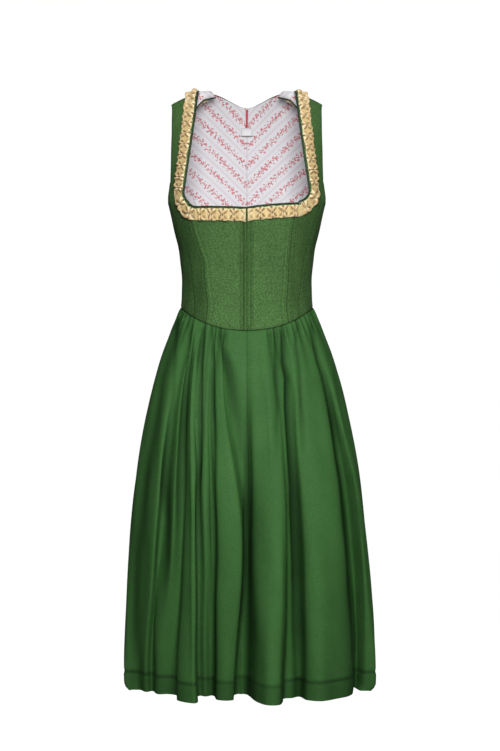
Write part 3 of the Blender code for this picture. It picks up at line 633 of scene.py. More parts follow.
def grid_mesh(name, points, uv, flip=False, shade=None):
    """A mesh through a grid of points, with a UV map in metres and shade values, if any."""
    rows, columns = points.shape[:2]
    index = np.arange(rows * columns).reshape(rows, columns)
    corners = index[:-1, :-1], index[:-1, 1:], index[1:, 1:], index[1:, :-1]
    quads = np.stack(corners, axis=-1).reshape(-1, 4)
    if flip:
        quads = quads[:, ::-1]
    mesh = bpy.data.meshes.new(name)
    mesh.from_pydata(points.reshape(-1, 3), [], quads)
    layer = mesh.uv_layers.new(name="cloth")
    flat = np.asarray(uv, float).reshape(-1, 2)[quads.ravel()]
    layer.data.foreach_set("uv", flat.ravel())
    for key, values in (shade or {}).items():
        attribute = mesh.attributes.new(key, "FLOAT", "POINT")
        attribute.data.foreach_set("value", np.asarray(values, float).ravel())
    mesh.update()
    return mesh


def own_mesh(item):
    """The object with its modifiers applied and sharp edges where its faces turn."""
    bpy.context.view_layer.update()
    evaluated = item.evaluated_get(bpy.context.evaluated_depsgraph_get())
    mesh = bpy.data.meshes.new_from_object(evaluated)
    mesh.name = item.name
    item.modifiers.clear()
    item.data = mesh
    mesh.shade_smooth()
    mesh.set_sharp_from_angle(angle=math.radians(55))


def shell(name, points, wall, materials, uv, mirror=False, flip=False, shade=None):
    """A cloth wall through a grid of points, which lie on its outer face."""
    if mirror:
        points = points * np.array([-1.0, 1.0, 1.0])
    mesh = grid_mesh(name, points, uv, flip != mirror, shade)
    item = bpy.data.objects.new(name, mesh)
    bpy.context.scene.collection.objects.link(item)
    for material in materials:
        mesh.materials.append(bpy.data.materials[material])
    solid = item.modifiers.new("wall", "SOLIDIFY")
    solid.thickness = wall
    solid.offset = -1.0
    solid.material_offset = len(materials) - 1
    own_mesh(item)
    return item


def cord_piece(name, points, radius, material, mirror=False):
    """A round cord through a list of points."""
    curve = bpy.data.curves.new(name, "CURVE")
    curve.dimensions = "3D"
    curve.bevel_depth = radius
    curve.bevel_resolution = 3
    curve.use_fill_caps = True
    line = curve.splines.new("POLY")
    line.points.add(len(points) - 1)
    for point, spot in zip(line.points, points):
        point.co = (-spot[0] if mirror else spot[0], spot[1], spot[2], 1.0)
    curve.materials.append(bpy.data.materials[material])
    item = bpy.data.objects.new(name, curve)
    bpy.context.scene.collection.objects.link(item)
    return item


def settle(item, nodes, cut=None):
    """Hangs a piece on the body it rides on and hides the frame's parts that it stands for. Its cut is
    not used.
    """
    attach(item, BODY)
    if nodes:
        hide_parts(*nodes)


# ---------------------------------------------------------------------------
# Finishes
# ---------------------------------------------------------------------------


class Wire:
    """A value in a material's node tree, so that shader maths reads as plain sums."""

    def __init__(self, tree, socket):
        self.tree = tree
        self.socket = socket

    def math(self, operation, *values):
        node = add_node(self.tree, "ShaderNodeMath", {"operation": operation})
        for socket, value in zip(node.inputs, values):
            feed(self.tree, socket, value)
        return Wire(self.tree, node.outputs[0])

    def __add__(self, other):
        return self.math("ADD", self, other)

    __radd__ = __add__

    def __sub__(self, other):
        return self.math("SUBTRACT", self, other)

    def __rsub__(self, other):
        return self.math("SUBTRACT", other, self)

    def __mul__(self, other):
        return self.math("MULTIPLY", self, other)

    __rmul__ = __mul__

    def __truediv__(self, other):
        return self.math("DIVIDE", self, other)

    def __pow__(self, other):
        return self.math("POWER", self, other)

    def __abs__(self):
        return self.math("ABSOLUTE", self)

    def sine(self):
        return self.math("SINE", self)

    def part(self):
        """What is left above the whole number below it."""
        return self.math("FRACT", self)

    def whole(self):
        return self.math("FLOOR", self)

    def clipped(self):
        return self.math("MINIMUM", self.math("MAXIMUM", self, 0.0), 1.0)

    def within(self, edge, soft):
        """1 where the value is under edge and 0 where it is over, with a soft step between."""
        return ((edge - self) / soft + 0.5).clipped()


def feed(tree, socket, value):
    """Links a wire to a socket, or sets the socket's own value."""
    if isinstance(value, Wire):
        tree.links.new(value.socket, socket)
    elif isinstance(value, tuple) and len(value) == 3 and len(socket.default_value) == 4:
        socket.default_value = (*value, 1.0)
    else:
        socket.default_value = value


def add_node(tree, kind, settings=None, **links):
    """A node of any kind: its settings first, then the values and links of its sockets."""
    node = tree.nodes.new(kind)
    for key, value in (settings or {}).items():
        setattr(node, key, value)
    for key, value in links.items():
        feed(tree, node.inputs[key.replace("_", " ")], value)
    return node


class Finish:
    """A material under its slot's name, and the few kinds of node that the finishes share."""

    def __init__(self, name, **constants):
        self.material = bpy.data.materials.new(name)
        self.material.use_nodes = True
        self.tree = self.material.node_tree
        self.shader = self.tree.nodes["Principled BSDF"]
        for key, value in constants.items():
            self.shader.inputs[key.replace("_", " ")].default_value = value

    def out(self, kind, output, settings=None, **links):
        node = add_node(self.tree, kind, settings, **links)
        return Wire(self.tree, node.outputs[output])

    def place(self):
        """The point's x, y and z in the dress's own frame, in metres."""
        spot = self.out("ShaderNodeTexCoord", "Object")
        node = add_node(self.tree, "ShaderNodeSeparateXYZ", None, Vector=spot)
        return [Wire(self.tree, node.outputs[i]) for i in range(3)]

    def flat(self):
        """The point's place across and along the cloth, in metres."""
        spot = self.out("ShaderNodeUVMap", "UV", {"uv_map": "cloth"})
        node = add_node(self.tree, "ShaderNodeSeparateXYZ", None, Vector=spot)
        return Wire(self.tree, node.outputs[0]), Wire(self.tree, node.outputs[1])

    def shade(self, name):
        return self.out("ShaderNodeAttribute", "Fac", {"attribute_name": name})

    def noise(self, scale, detail=2.0):
        spot = self.out("ShaderNodeTexCoord", "Object")
        return self.out("ShaderNodeTexNoise", "Fac", None, Vector=spot, Scale=scale, Detail=detail)

    def mix(self, share, first, second):
        """A colour between two, by a share from 0 to 1."""
        node = add_node(self.tree, "ShaderNodeMix", {"data_type": "RGBA"})
        for index, value in ((0, share), (6, first), (7, second)):
            feed(self.tree, node.inputs[index], value)
        return Wire(self.tree, node.outputs[2])

    def coat(self, colour, roughness=None, bump=None, distance=0.0003, strength=1.0):
        """Sends what varies to the shader: colour, roughness and the height of a bump."""
        feed(self.tree, self.shader.inputs["Base Color"], colour)
        if roughness is not None:
            feed(self.tree, self.shader.inputs["Roughness"], roughness)
        if bump is not None:
            face = self.out("ShaderNodeBump", "Normal", None, Height=bump, Distance=distance,
                            Strength=strength)
            feed(self.tree, self.shader.inputs["Normal"], face)


# Shares of a cloth's own colour: at its darkest and lightest dye, and the painted shade down in a
# crease; then the painted crease shade of the lining and of the ribbon
DARK_DYE = 0.55
LIGHT_DYE = 1.45
CREASE_SHADE_SHARE = (0.06, 0.11, 0.08)
LINING_CREASE_SHADE = (0.30, 0.30, 0.31)
GOLD_CREASE_SHADE = (0.050, 0.022, 0.004)


def make_green_cloth(name, colour, wale, grain, roughness, sheen):
    """Cotton in a fine diagonal weave, with a slight unevenness of dye, and shade painted in where its
    crease attribute is high.
    """
    finish = Finish(name, Sheen_Weight=sheen, Sheen_Roughness=0.4, Sheen_Tint=(0.55, 0.85, 0.45, 1.0))
    finish.shader.inputs["Specular IOR Level"].default_value = 0.1
    across, along = finish.flat()
    twill = ((across + along) * (2 * math.pi / wale)).sine() * 0.5 + 0.5
    thread = ((across - along) * (2 * math.pi / (wale * 0.45))).sine() * 0.5 + 0.5
    cloud, speck = finish.noise(16.0, 3.0), finish.noise(460.0, 2.0)
    dark = tuple(DARK_DYE * part for part in colour)
    light = tuple(LIGHT_DYE * part for part in colour)
    crease_shade_colour = tuple(share * part for share, part in zip(CREASE_SHADE_SHARE, colour))
    share = 0.5 + (cloud - 0.5) * 0.35 + (speck - 0.5) * (2.6 * grain)
    share = (share + (twill - 0.5) * (0.45 * grain)).clipped()
    tone = finish.mix(share, dark, light)
    # Painted shade: towards a deep green in the seams, folds and gathers, at the placket and on the
    # sides turned from the light
    tone = finish.mix(finish.shade("crease"), tone, crease_shade_colour)
    rough = roughness + (speck - 0.5) * 0.15
    finish.coat(tone, rough, twill * 0.6 + thread * 0.2 + speck * grain, 0.0003, 0.6)


def make_lining_print(name, ground, red, line):
    """White cotton printed with chevron stripes of small red sprigs, and woven lines between them, with
    shade painted in where its crease attribute is high.
    """
    finish = Finish(name, Sheen_Weight=0.1)
    finish.shader.inputs["Specular IOR Level"].default_value = 0.25
    x, _, z = finish.place()
    side = abs(x)
    rise = side * (SPRIG_SLOPE - side * 1.1)
    level = (z - rise - SPRIG_FOOT_Z) / SPRIG_STEP + 40.5
    off = (level.part() - 0.5) * (SPRIG_STEP * SPRIG_LEAN)
    run = (side * SPRIG_LEAN + z * 0.64) / SPRIG_PITCH + 60.0
    hand = ((run * 0.5).whole() * 2.0 - run.whole()) * 2.0 + 1.0
    from_middle = (run.part() - 0.5) * SPRIG_PITCH
    rough_edge = (finish.noise(520.0, 1.0) - 0.5) * 0.0030
    wide = off - hand * SPRIG_SWAY
    reach = (wide * wide + from_middle * from_middle) ** 0.5 + rough_edge
    spot = finish.out("ShaderNodeTexCoord", "Object")
    dot = finish.out("ShaderNodeTexVoronoi", "Distance", None, Vector=spot, Scale=330.0)
    petal = reach.within(0.0048, 0.0010) * dot.within(0.53, 0.12)
    halo = reach.within(0.0052, 0.0016)
    stripe_gap = abs(abs(off) - SPRIG_STEP * SPRIG_LEAN * 0.5)
    woven = (stripe_gap * (2 * math.pi / 0.0034)).sine() * 0.5 + 0.5
    woven = woven * stripe_gap.within(0.0036, 0.0010)
    tone = finish.mix(woven * 0.42, ground, line)
    tone = finish.mix(halo * 0.45, tone, (0.82, 0.92, 0.95))
    tone = finish.mix(petal * 0.85, tone, red)
    # Painted shade: towards grey beside the seams, at the strap end's rim and where the bodice's inner
    # faces carry it
    tone = finish.mix(finish.shade("crease"), tone, LINING_CREASE_SHADE)
    weave = (x * (2 * math.pi / 0.0007)).sine() * (z * (2 * math.pi / 0.0007)).sine()
    finish.coat(tone, None, weave, 0.0001, 0.4)
    finish.shader.inputs["Roughness"].default_value = 0.8


def make_gold_ribbon(name, colour, hollow_shade_colour, mouth):
    """A satin ribbon with painted shade: orange down in the mouths of its folds, and darker in the
    hollows and creases.
    """
    finish = Finish(name, Sheen_Weight=0.2)
    _, along = finish.flat()
    finish.shader.inputs["Coat Weight"].default_value = 0.3
    finish.shader.inputs["Coat Roughness"].default_value = 0.3
    rib = (along * (2 * math.pi / 0.0009)).sine() * 0.5 + 0.5
    cloud = finish.noise(160.0, 2.0)
    # Painted shade in the hollows between the pleats, in the mouths of the folds and in the creases
    tone = finish.mix(finish.shade("hollow"), colour, hollow_shade_colour)
    tone = finish.mix(finish.shade("mouth"), tone, mouth)
    tone = finish.mix(finish.shade("crease"), tone, GOLD_CREASE_SHADE)
    # A little random unevenness towards the same darker colour
    tone = finish.mix(cloud * 0.12, tone, hollow_shade_colour)
    finish.coat(tone, 0.30 + cloud * 0.2, rib + cloud, 0.00015, 0.5)


def make_plain(name, colour, roughness, scale, bump=0.0001, sheen=0.1):
    """A plain finish with a little unevenness, and shade painted in where its crease attribute is high.
    """
    finish = Finish(name, Sheen_Weight=sheen)
    cloud = finish.noise(scale, 2.0)
    dark, light = (tuple(min(1.0, share * part) for part in colour) for share in (0.78, 1.15))
    tone = finish.mix(cloud, dark, light)
    # Painted shade: the label's rim and the shadow under its lower edge
    tone = finish.mix(finish.shade("crease"), tone, tuple(0.2 * part for part in colour))
    finish.coat(tone, roughness + (cloud - 0.5) * 0.1, cloud, bump, 0.6)


def make_studio(name, colour, glow):
    """Pale paint with an even glow."""
    finish = Finish(name, Roughness=0.9)
    finish.shader.inputs["Emission Color"].default_value = (1.0, 1.0, 1.0, 1.0)
    finish.shader.inputs["Emission Strength"].default_value = glow
    cloud = finish.noise(3.0)
    finish.coat(finish.mix(cloud * 0.03, colour, (0.8, 0.8, 0.8)))
    finish.shader.inputs["Specular IOR Level"].default_value = 0.0


# ---------------------------------------------------------------------------
# Cloth details
# ---------------------------------------------------------------------------

BODICE_WALL = 0.0015
SKIRT_WALL = 0.0012
LINING_WALL = 0.0010
PIPING_RADIUS = 0.0014
TRIM_WIDTH = 0.022
TRIM_INSET = 0.002
CENTRE_GAP = 0.0012

SPRIG_STEP = 0.0372
SPRIG_FOOT_Z = -0.203
SPRIG_SLOPE = 1.02
SPRIG_LEAN = 0.74
SPRIG_PITCH = 0.0046
SPRIG_SWAY = 0.0020

# How plainly each panel's left and right seams show: how deep they dip and how much shade is painted in
# them
SEAM_WEIGHT = {
    "front_centre": (0.25, 0.7),
    "front_side": (0.7, 0.3),
    "side": (0.35, 0.8),
    "back_side": (0.8, 0.8),
    "back_centre": (0.8, 1.0),
}
# How far the placket's stitching runs from the centre front
PLACKET_HALF = 0.0120
# Lines beside the centre front opening, over the zip: place, width, how deep and how much shade is
# painted in
PLACKET = {
    "right": ((0.0026, 0.0010, -1.2, 0.0), (0.0053, 0.0018, 1.0, 0.62), (0.0084, 0.0010, -0.3, 0.08),
              (0.0114, 0.0010, 0.9, 0.34)),
    "left": ((0.0015, 0.0010, 0.7, 0.42), (0.0042, 0.0011, -1.0, 0.0), (0.0076, 0.0018, 0.9, 0.42),
             (0.0114, 0.0010, 0.7, 0.20)),
}
# How far the bodice falls into shade from the front seams round to the side
SIDE_SHADE = {"right": 0.42, "left": 0.24}

# Where a panel's columns lie near its seams: distances in from the edge
SEAM_EDGES = (0.0, 0.0008, 0.0018, 0.0030, 0.0045, 0.0060, 0.0070, 0.0080, 0.0092, 0.0106, 0.0120,
              0.0145)

LABEL_HALF_WIDTH = 0.0115
LABEL_TOP_Z = -0.0545
LABEL_HEIGHT = 0.0155
ZIP_HALF_WIDTH = 0.012
ZIP_FOOT_Z = -0.446
ZIP_TOP_Z = -0.2285
TURN_TOP = ((0.0940, 0.0020, 0.0000), (0.0860, 0.0045, 0.0040), (0.0700, 0.0105, 0.0058),
            (0.0600, 0.0180, -0.0018))
TURN_FOOT = ((0.0950, -0.0010, -0.0255), (0.0835, 0.0005, -0.0130), (0.0730, 0.0050, -0.0085),
             (0.0598, 0.0150, -0.0042))


class Half:
    """The seams and edges of one half of the bodice, as functions of angle or height."""

    def __init__(self, side):
        self.side = side
        self.princess = seam(PRINCESS[side])
        self.fore_side = seam(FORE_SIDE, end=ARM_FRONT[0])
        self.back_princess = seam(BACK_PRINCESS, True, ARM_BACK[0])
        self.split = float(angle_at(PRINCESS[side][0][1], BUST_Z))
        self.neck = front_neck(side)
        self.corner = float(self.neck(self.split))

    def side_seam(self, height):
        return rows_of(SIDE_SEAM, BUST_Z + height)

    def arm_front(self, height):
        return np.where(height < ARM_FRONT[0][0], self.fore_side(height), rows_of(ARM_FRONT, height))

    def arm_back(self, height):
        return np.where(height < ARM_BACK[0][0], self.back_princess(height), rows_of(ARM_BACK, height))

    def arm_foot(self, angle):
        return rows_of(ARM_FOOT, angle)

    def chest(self, angle):
        climb = (ARM_FRONT[0][0] - self.corner) / (ARM_FRONT[0][1] - self.split)
        return self.corner + climb * (angle - self.split)


def level(height):
    return lambda angle: np.asarray(angle) * 0.0 + height


def dense_rows(count, ends=0.0):
    """Row shares from foot to top, closer together near the foot and the top."""
    t = np.linspace(0, 1, count)
    return t - ends * np.sin(2 * math.pi * t) / (2 * math.pi)


def joined(low, high):
    return np.vstack([low[0], high[0][1:]]), np.vstack([low[1], high[1][1:]])


def panel_grids(half, low_rows, high_rows, count):
    """Each panel's angles and heights."""

    def low(left, right, foot, top, gaps, columns=count):
        return grid(left, right, foot, top, SEAM_EDGES, columns, low_rows, gaps)

    def high(left, right, foot, top):
        return grid(left, right, foot, top, SEAM_EDGES, count, high_rows, (0, 0, 0, 0.5))

    back = level(180.0)
    chest_back = level(ARM_BACK[0][0])
    princess, fore_side, back_princess = half.princess, half.fore_side, half.back_princess
    front_low = low(princess, fore_side, waist, half.chest, (0.5, 2, 0.5, 0))
    front_high = high(strap_neck(half.side), half.arm_front, half.chest, level(ARCH))
    back_low = low(back_princess, back, waist, chest_back, (0.8, 0, 0.5, 0))
    back_high = high(half.arm_back, back, chest_back, back_neck)
    return {
        "front_centre": low(level(0.0), princess, waist, half.neck, (1, 0.5, 0.5, 0), count + 8),
        "front_side": joined(front_low, front_high),
        "side": low(fore_side, half.side_seam, waist, half.arm_foot, (2, 0.6, 0.5, 0)),
        "back_side": low(half.side_seam, back_princess, waist, half.arm_foot, (0.6, 0.6, 0.5, 0)),
        "back_centre": joined(back_low, back_high),
    }


def panel_relief(name, angle, height, sizes, side):
    """How far the cloth stands out at each point for seams, boning, edges and soft creases, and how much
    shade is painted there.
    """
    points = figure(angle, height)
    across = run_lengths(points, 1)
    from_left, from_right = across, across[:, -1:] - across
    along = run_lengths(points, 0)
    from_foot, from_top = along, along[-1:] - along
    depth = sizes.seam_depth
    left_seam, right_seam = SEAM_WEIGHT[name]
    out = -depth * (left_seam * bump(from_left, 0, 0.0016) + right_seam * bump(from_right, 0, 0.0016))
    out -= depth * bump(from_foot, 0, 0.0022)
    # Painted shade down in the seams and along the foot
    dark = 0.55 * (left_seam * bump(from_left, 0, 0.0009) + right_seam * bump(from_right, 0, 0.0009))
    dark += 0.5 * bump(from_foot, 0, 0.0010)
    if name == "front_centre":
        out += sizes.boning_rise * bump(from_right, sizes.boning_inset, 0.0018)
        out -= 0.4 * depth * bump(from_right, sizes.boning_inset + 0.0038, 0.0012)
        # Painted shade in the groove beside the boning
        dark += 0.30 * bump(from_right, sizes.boning_inset + 0.0040, 0.0009)
        # Painted shade in the grooves beside the centre front opening
        for place, wide, sink, shadow in PLACKET[side]:
            out -= sink * depth * bump(from_left, place, wide)
            dark += shadow * bump(from_left, place, wide)
    else:
        out += 0.45 * sizes.boning_rise * (
            left_seam * bump(from_left, sizes.boning_inset, 0.0020)
            + right_seam * bump(from_right, sizes.boning_inset, 0.0020)
        )
    # Painted shade on the sides that turn from the front light
    if name in ("front_side", "side"):
        turned = 1.0 if name == "front_side" else fade(from_right, 0.01, 0.06)
        dark += SIDE_SHADE[side] * fade(-height, -0.01, 0.05) * turned
    free = fade(height, 0.0, 0.02)
    out -= 0.5 * depth * free * (bump(from_left, 0, 0.003) + bump(from_right, 0, 0.003))
    out -= 0.6 * depth * bump(from_top, 0, 0.0025)
    wave = np.sin(height * 63 + angle * 0.13) * np.sin(height * 31 - angle * 0.21 + 1.3)
    pull = fade(-height, 0.02, 0.19)
    strain = bump(height, -0.175, 0.016) * np.sin(angle * 0.19 + 0.8)
    out += 0.0006 * wave * (0.5 + pull) + 0.0007 * strain * pull
    return out, np.clip(dark, 0, 1)


def panel_uv(points):
    return np.stack([run_lengths(points, 1), run_lengths(points, 0)], axis=-1)


def build_bodice_half(side, mirror, sizes):
    half = Half(side)
    grids = panel_grids(half, dense_rows(105, 0.3), dense_rows(80), 16)
    for name, (angle, height) in grids.items():
        out, dark = panel_relief(name, angle, height, sizes, side)
        points = cloth(angle, height, out)
        # The crease attribute carries the painted shade to the twill and to the lining on the inner face
        item = shell(f"{name}_{side}_cloth", points, BODICE_WALL * 0.9, ("bodice_twill", "sprig_lining"),
                     panel_uv(points), mirror, shade={"crease": dark})
        settle(item, [f"{name}_{side}"], cut_of(figure(angle, height)))
        if name in ("back_side", "back_centre"):
            inner = cloth(angle, height, -BODICE_WALL - 2 * GAP + lining_ease(angle, height))
            node = {"back_side": "lining_back_side", "back_centre": "lining_back"}[name]
            edge = lining_crease(inner)
            item = shell(f"{node}_{side}_cloth", inner, LINING_WALL * 0.7, ("sprig_lining",),
                         panel_uv(inner), mirror, shade={"crease": edge})
            settle(item, [f"{node}_{side}"], cut_of(inner))


def lining_ease(angle, height):
    """The lining's own soft ease, always inward of the cloth."""
    wave = np.sin(height * 37 + angle * 0.17) * np.sin(angle * 0.33 - height * 19)
    return -0.0012 * (0.5 + 0.5 * wave)


def lining_crease(points):
    """The shade beside the lining's seams."""
    across = run_lengths(points, 1)
    dark = 0.35 * bump(across, 0, 0.0012) + 0.35 * bump(across[:, -1:] - across, 0, 0.0012)
    return np.clip(dark, 0, 1)


# ---------------------------------------------------------------------------
# Ruched ribbon and piping
# ---------------------------------------------------------------------------

RUCHE_STEPS = 26
RUCHE_ROWS = 21


def ruche(u, v):
    """The ribbon's height, and the painted shade in its hollows, in the mouths of its folds and in its
    creases, for a share u of a pleat and v across it.
    """
    r, s = np.abs(v), np.abs(u)
    edge = 0.09 + 0.31 * r**0.8
    pleat = fade(edge - s, -0.025, 0.025)
    along = np.clip(s / edge, 0, 1)
    puff = np.sin(math.pi * along) ** 0.8 * np.sin(math.pi * np.clip(r * 0.94 + 0.03, 0, 1)) ** 0.7
    slit = bump(s - edge, 0.022, 0.064) * (0.7 + 0.3 * fade(u, -0.2, 0.2))
    slit = slit * fade(r, 0.02, 0.2) * fade(0.86 - r, 0.0, 0.25)
    notch = np.exp(-((u / (0.030 + 0.16 * np.clip(r - 0.6, 0, 1))) ** 2)) * fade(r, 0.52, 0.8)
    pinch = np.exp(-(s / 0.07) ** 2 - (r / 0.16) ** 2)
    middle = bump(u, 0, 0.032) * fade(r, 0.1, 0.3)
    fan = (1 - pleat) * (0.5 + 0.5 * np.cos(2 * math.pi * (s - 0.5) * 3.4)) * fade(s, 0.1, 0.3)
    height = 0.0012 + 0.0012 * fan * (0.4 + 0.6 * r)
    height = height + pleat * (0.0008 + 0.0040 * puff) - 0.0016 * slit - 0.0026 * notch - 0.0018 * pinch
    height = height - 0.0010 * middle * pleat - 0.0010 * fade(r, 0.86, 1.0)
    # Painted shade: orange in the mouths of the folds, darker in the hollows between pleats, darkest in
    # the slits, notches, pinches and the pleats' middles
    mouth = np.exp(-((s - 0.56 * edge) / 0.065) ** 2 - ((r - 0.50) / 0.17) ** 2)
    hollow = (1 - pleat) * (0.95 - 0.55 * fan)
    crease = np.clip(1.1 * slit + 1.1 * notch + pinch + 0.35 * middle, 0, 1)
    return np.maximum(height, 0.0003), np.clip(hollow, 0, 1), np.clip(1.1 * mouth, 0, 1), crease


def build_ruching(name, nodes, line, sign, mirror, sizes, with_end):
    """A pinched ribbon along a neck edge, on the cloth, from the centre to the crest."""
    angle, height, length = even_line(*line, 400)
    units = max(1, round(length / sizes.pleat_length))
    angle, height, length = even_line(*line, units * RUCHE_STEPS + 1)
    way = edge_way(angle, height, sign)
    across = np.linspace(-1, 1, RUCHE_ROWS)
    along = np.arange(len(angle)) / RUCHE_STEPS
    share = (along + 0.5 * with_end) % 1.0 - 0.5
    uneven = np.sin(along * 2.1) * 0.06 + np.sin(along * 5.7 + 1.0) * 0.05
    u, v = np.meshgrid(share, across)
    rise, hollow, mouth, crease = ruche(np.clip(u + uneven * 0.6 * v, -0.5, 0.5),
                                        np.clip(v + uneven, -1, 1))
    rise = rise * (1 + 0.22 * np.sin(along * 3.3 + 0.6 + 1.1 * v))
    if with_end:
        fold = bump(along * length / units, 0.0, 0.0014)[None, :]
        flat_end = bump(along * length / units, 0.0, 0.006)[None, :]
        rise = rise * (1 - 0.6 * flat_end) + 0.0022 * flat_end - 0.0008 * fold
        hollow, mouth, crease = (part * (1 - flat_end) for part in (hollow, mouth, crease))
    climb = fade(height, height.min() + 0.004, height.min() + 0.03) if with_end else 1.0
    inset = TRIM_INSET - 0.0005 - 0.0015 * climb
    wide = TRIM_WIDTH + 0.0015 * climb
    rows = []
    for j, place in enumerate(across):
        scallop = 0.0007 * np.cos(2 * math.pi * share) * place
        distance = inset + (place + 1) / 2 * wide + scallop
        a, h = walk(angle, height, way, distance)
        rows.append(cloth(a, np.minimum(h, ARCH - 0.5 * GAP), 6 * GAP + rise[j]))
    points = np.stack(rows)
    if with_end:
        square_up = (1 - fade(along * length / units, 0.0, 0.018))[None, :]
        points[:, :, 0] -= (points[:, :1, 0] - 1.5 * CENTRE_GAP) * square_up
    points[:, :, 0] = np.maximum(points[:, :, 0], 0.0004)
    flat = np.stack([np.tile(across[:, None] * TRIM_WIDTH / 2, (1, len(along))),
                     np.tile(along * length / units, (len(across), 1))], axis=-1)
    if sign < 0:
        points, flat = points[::-1], flat[::-1]
        hollow, mouth, crease = hollow[::-1], mouth[::-1], crease[::-1]
    # The ribbon's painted shade: in its hollows, in the mouths of its folds and in its creases
    item = shell(name, points, 0.0005, ("gold_ribbon",), flat, mirror,
                 shade={"hollow": hollow, "mouth": mouth, "crease": crease})
    settle(item, nodes, (ribbon_cut(length), ribbon_cut(length)[0] * ribbon_cut(length)[1]))


def ribbon_cut(length):
    """The flat ribbon before it was pleated and pinched: half as long again."""
    return round(TRIM_WIDTH * 1.12, 4), round(float(length) * 1.5, 4)


def build_neck_finishes(side, mirror, sizes):
    for place, line, sign in (("neck", front_neck_line(side), -1.0), ("back", back_neck_line(), 1.0)):
        angle, height, _ = even_line(*line, 160)
        way = edge_way(angle, height, sign)
        spots = cloth(angle, height, -BODICE_WALL / 2) - way * PIPING_RADIUS
        spots[0, 0] = 0.0
        radius = PIPING_RADIUS * (1.1 if place == "neck" else 0.6)
        item = cord_piece(f"{place}_piping_{side}_cord", spots, radius, "piping_cord_cloth", mirror)
        settle(item, [f"{place}_piping_{side}"])
        build_ruching(f"{place}_ruching_{side}", [f"{place}_trim_{side}"], line, sign, mirror, sizes,
                      place == "neck")


# ---------------------------------------------------------------------------
# Skirt
# ---------------------------------------------------------------------------

FINE = 9


def gather_table():
    """Every small crease under the waist seam: the front's, and seeded ones round the rest."""
    chance = np.random.default_rng(11)
    found = list(FRONT_GATHERS)
    angle = SMOOTH_FRONT
    while angle < 360 - SMOOTH_FRONT:
        found.append((angle, 0.0018 + 0.0020 * chance.random(), 0.035 + 0.06 * chance.random()))
        angle += GATHER_STEP * (0.6 + 0.8 * chance.random())
    return found


def build_skirt_pieces(sizes):
    rows = 150
    drop = np.linspace(0, 1, rows) ** 1.25
    rings = np.stack([skirt_ring(share, FINE) for share in drop[::-1]])
    top = rings[-1]
    turn = np.degrees(np.arctan2(top[:, 0], -top[:, 1]))
    fall = rings[-1][None, :, 2] - rings[..., 2]
    out = np.zeros(rings.shape[:2])
    dark = np.zeros(rings.shape[:2])
    for angle, depth, length in gather_table():
        off = (turn - angle + 180) % 360 - 180
        spread = 1.1 + fall / length * 1.6
        crease = np.exp(-(off[None] / spread) ** 2)
        side_ridge = np.exp(-((off[None] - 2.0 * spread) / (1.2 * spread)) ** 2)
        strength = np.exp(-((fall / length) ** 1.5)) * (0.45 + 0.55 * fade(fall, 0.0, 0.012))
        out += sizes.gather_depth * depth / 0.003 * (0.55 * side_ridge - crease) * strength
        # Painted shade down in each gather
        dark += 0.35 * crease * strength
    level_z = rings[..., 2]
    front = fade(-rings[..., 1], -0.01, 0.02)
    for rows in FRONT_FOLDS.values():
        z, *parts = np.array(rows).T
        place, right, left, rise = (np.interp(level_z, z, part) for part in parts)
        off = rings[..., 0] - place
        near = np.exp(-((off / np.where(off < 0, right, left)) ** 2)) * front
        out += rise * near
        # Painted shade in the troughs, by their depth
        dark += sizes.fold_shade * np.clip(-rise / FULL_SHADE_DEPTH, 0, 1) * near
    ripple = 0.0011 * np.sin(level_z * 21 + turn[None] * 0.11)
    out += ripple * np.sin(turn[None] * 0.37 + level_z * 7) * fade(fall, 0.05, 0.3)
    from_hem = level_z - HEM_Z
    curl = np.clip(1 - from_hem / 0.014, 0, 1) ** 2 * fade(np.abs(rings[..., 0]), 0.185, 0.235)
    rings[..., 0] *= 1 - 0.035 * curl
    turned_up = fade(sizes.hem_turn - from_hem, -0.0012, 0.0012)
    out += 0.0007 * turned_up - 0.0012 * bump(from_hem, sizes.hem_turn, 0.0016)
    # Painted shade along the groove at the hem's stitching; the turned-up band below it is made darker
    # as well
    dark += 0.50 * bump(from_hem, sizes.hem_turn, 0.0024) + 0.22 * turned_up
    out -= 0.0012 * bump(fall, 0, 0.0025)
    # Painted shadow under the bodice's edge at the top of the skirt
    dark += 0.5 * bump(fall, 0, 0.0012)
    around = np.roll(rings, -1, axis=1) - np.roll(rings, 1, axis=1)
    upward = np.gradient(rings, axis=0)
    face = np.cross(around, upward)
    face /= np.linalg.norm(face, axis=-1, keepdims=True)
    rings = rings + face * out[..., None]
    names = [row[0] for row in FOLD_LINES]
    total = rings.shape[1]
    for name, first, last in SKIRT_PIECES:
        start, stop = names.index(first) * FINE, names.index(last) * FINE
        stop += total if stop <= start else 0
        columns = [i % total for i in range(start, stop + 1)]
        piece, shade = rings[:, columns].copy(), dark[:, columns].copy()
        across = run_lengths(piece, 1)
        for edge, run in ((0, across), (-1, across[:, -1:] - across)):
            seam_line = bump(run, 0, 0.0022) * seam_strength(name, edge, piece[..., 2])
            piece -= face[:, columns] * (0.0016 * seam_line)[..., None]
            # Painted shade in the seams
            shade += 0.6 * bump(run, 0, 0.0014) * seam_strength(name, edge, piece[..., 2])
        finishes = ("skirt_cotton", "skirt_cotton")
        item = shell(f"{name}_cloth", piece, SKIRT_WALL, finishes, panel_uv(piece),
                     shade={"crease": np.clip(shade, 0, 1)})
        settle(item, [name], cut_of(piece))
        build_hem_stitches(name, piece, sizes)


def seam_strength(name, edge, z):
    """The centre front seam shows from the waist to the zip's foot; the others all the way."""
    centre = (name, edge) in (("skirt_front_right", -1), ("skirt_front_left", 0))
    return 0.45 * fade(z, -0.80, -0.70) if centre else z * 0.0 + 0.6


# ---------------------------------------------------------------------------
# Thread
# ---------------------------------------------------------------------------


HEM_THREAD = 0.00028
PLACKET_THREAD = 0.00026
TACKING_THREAD = 0.00085


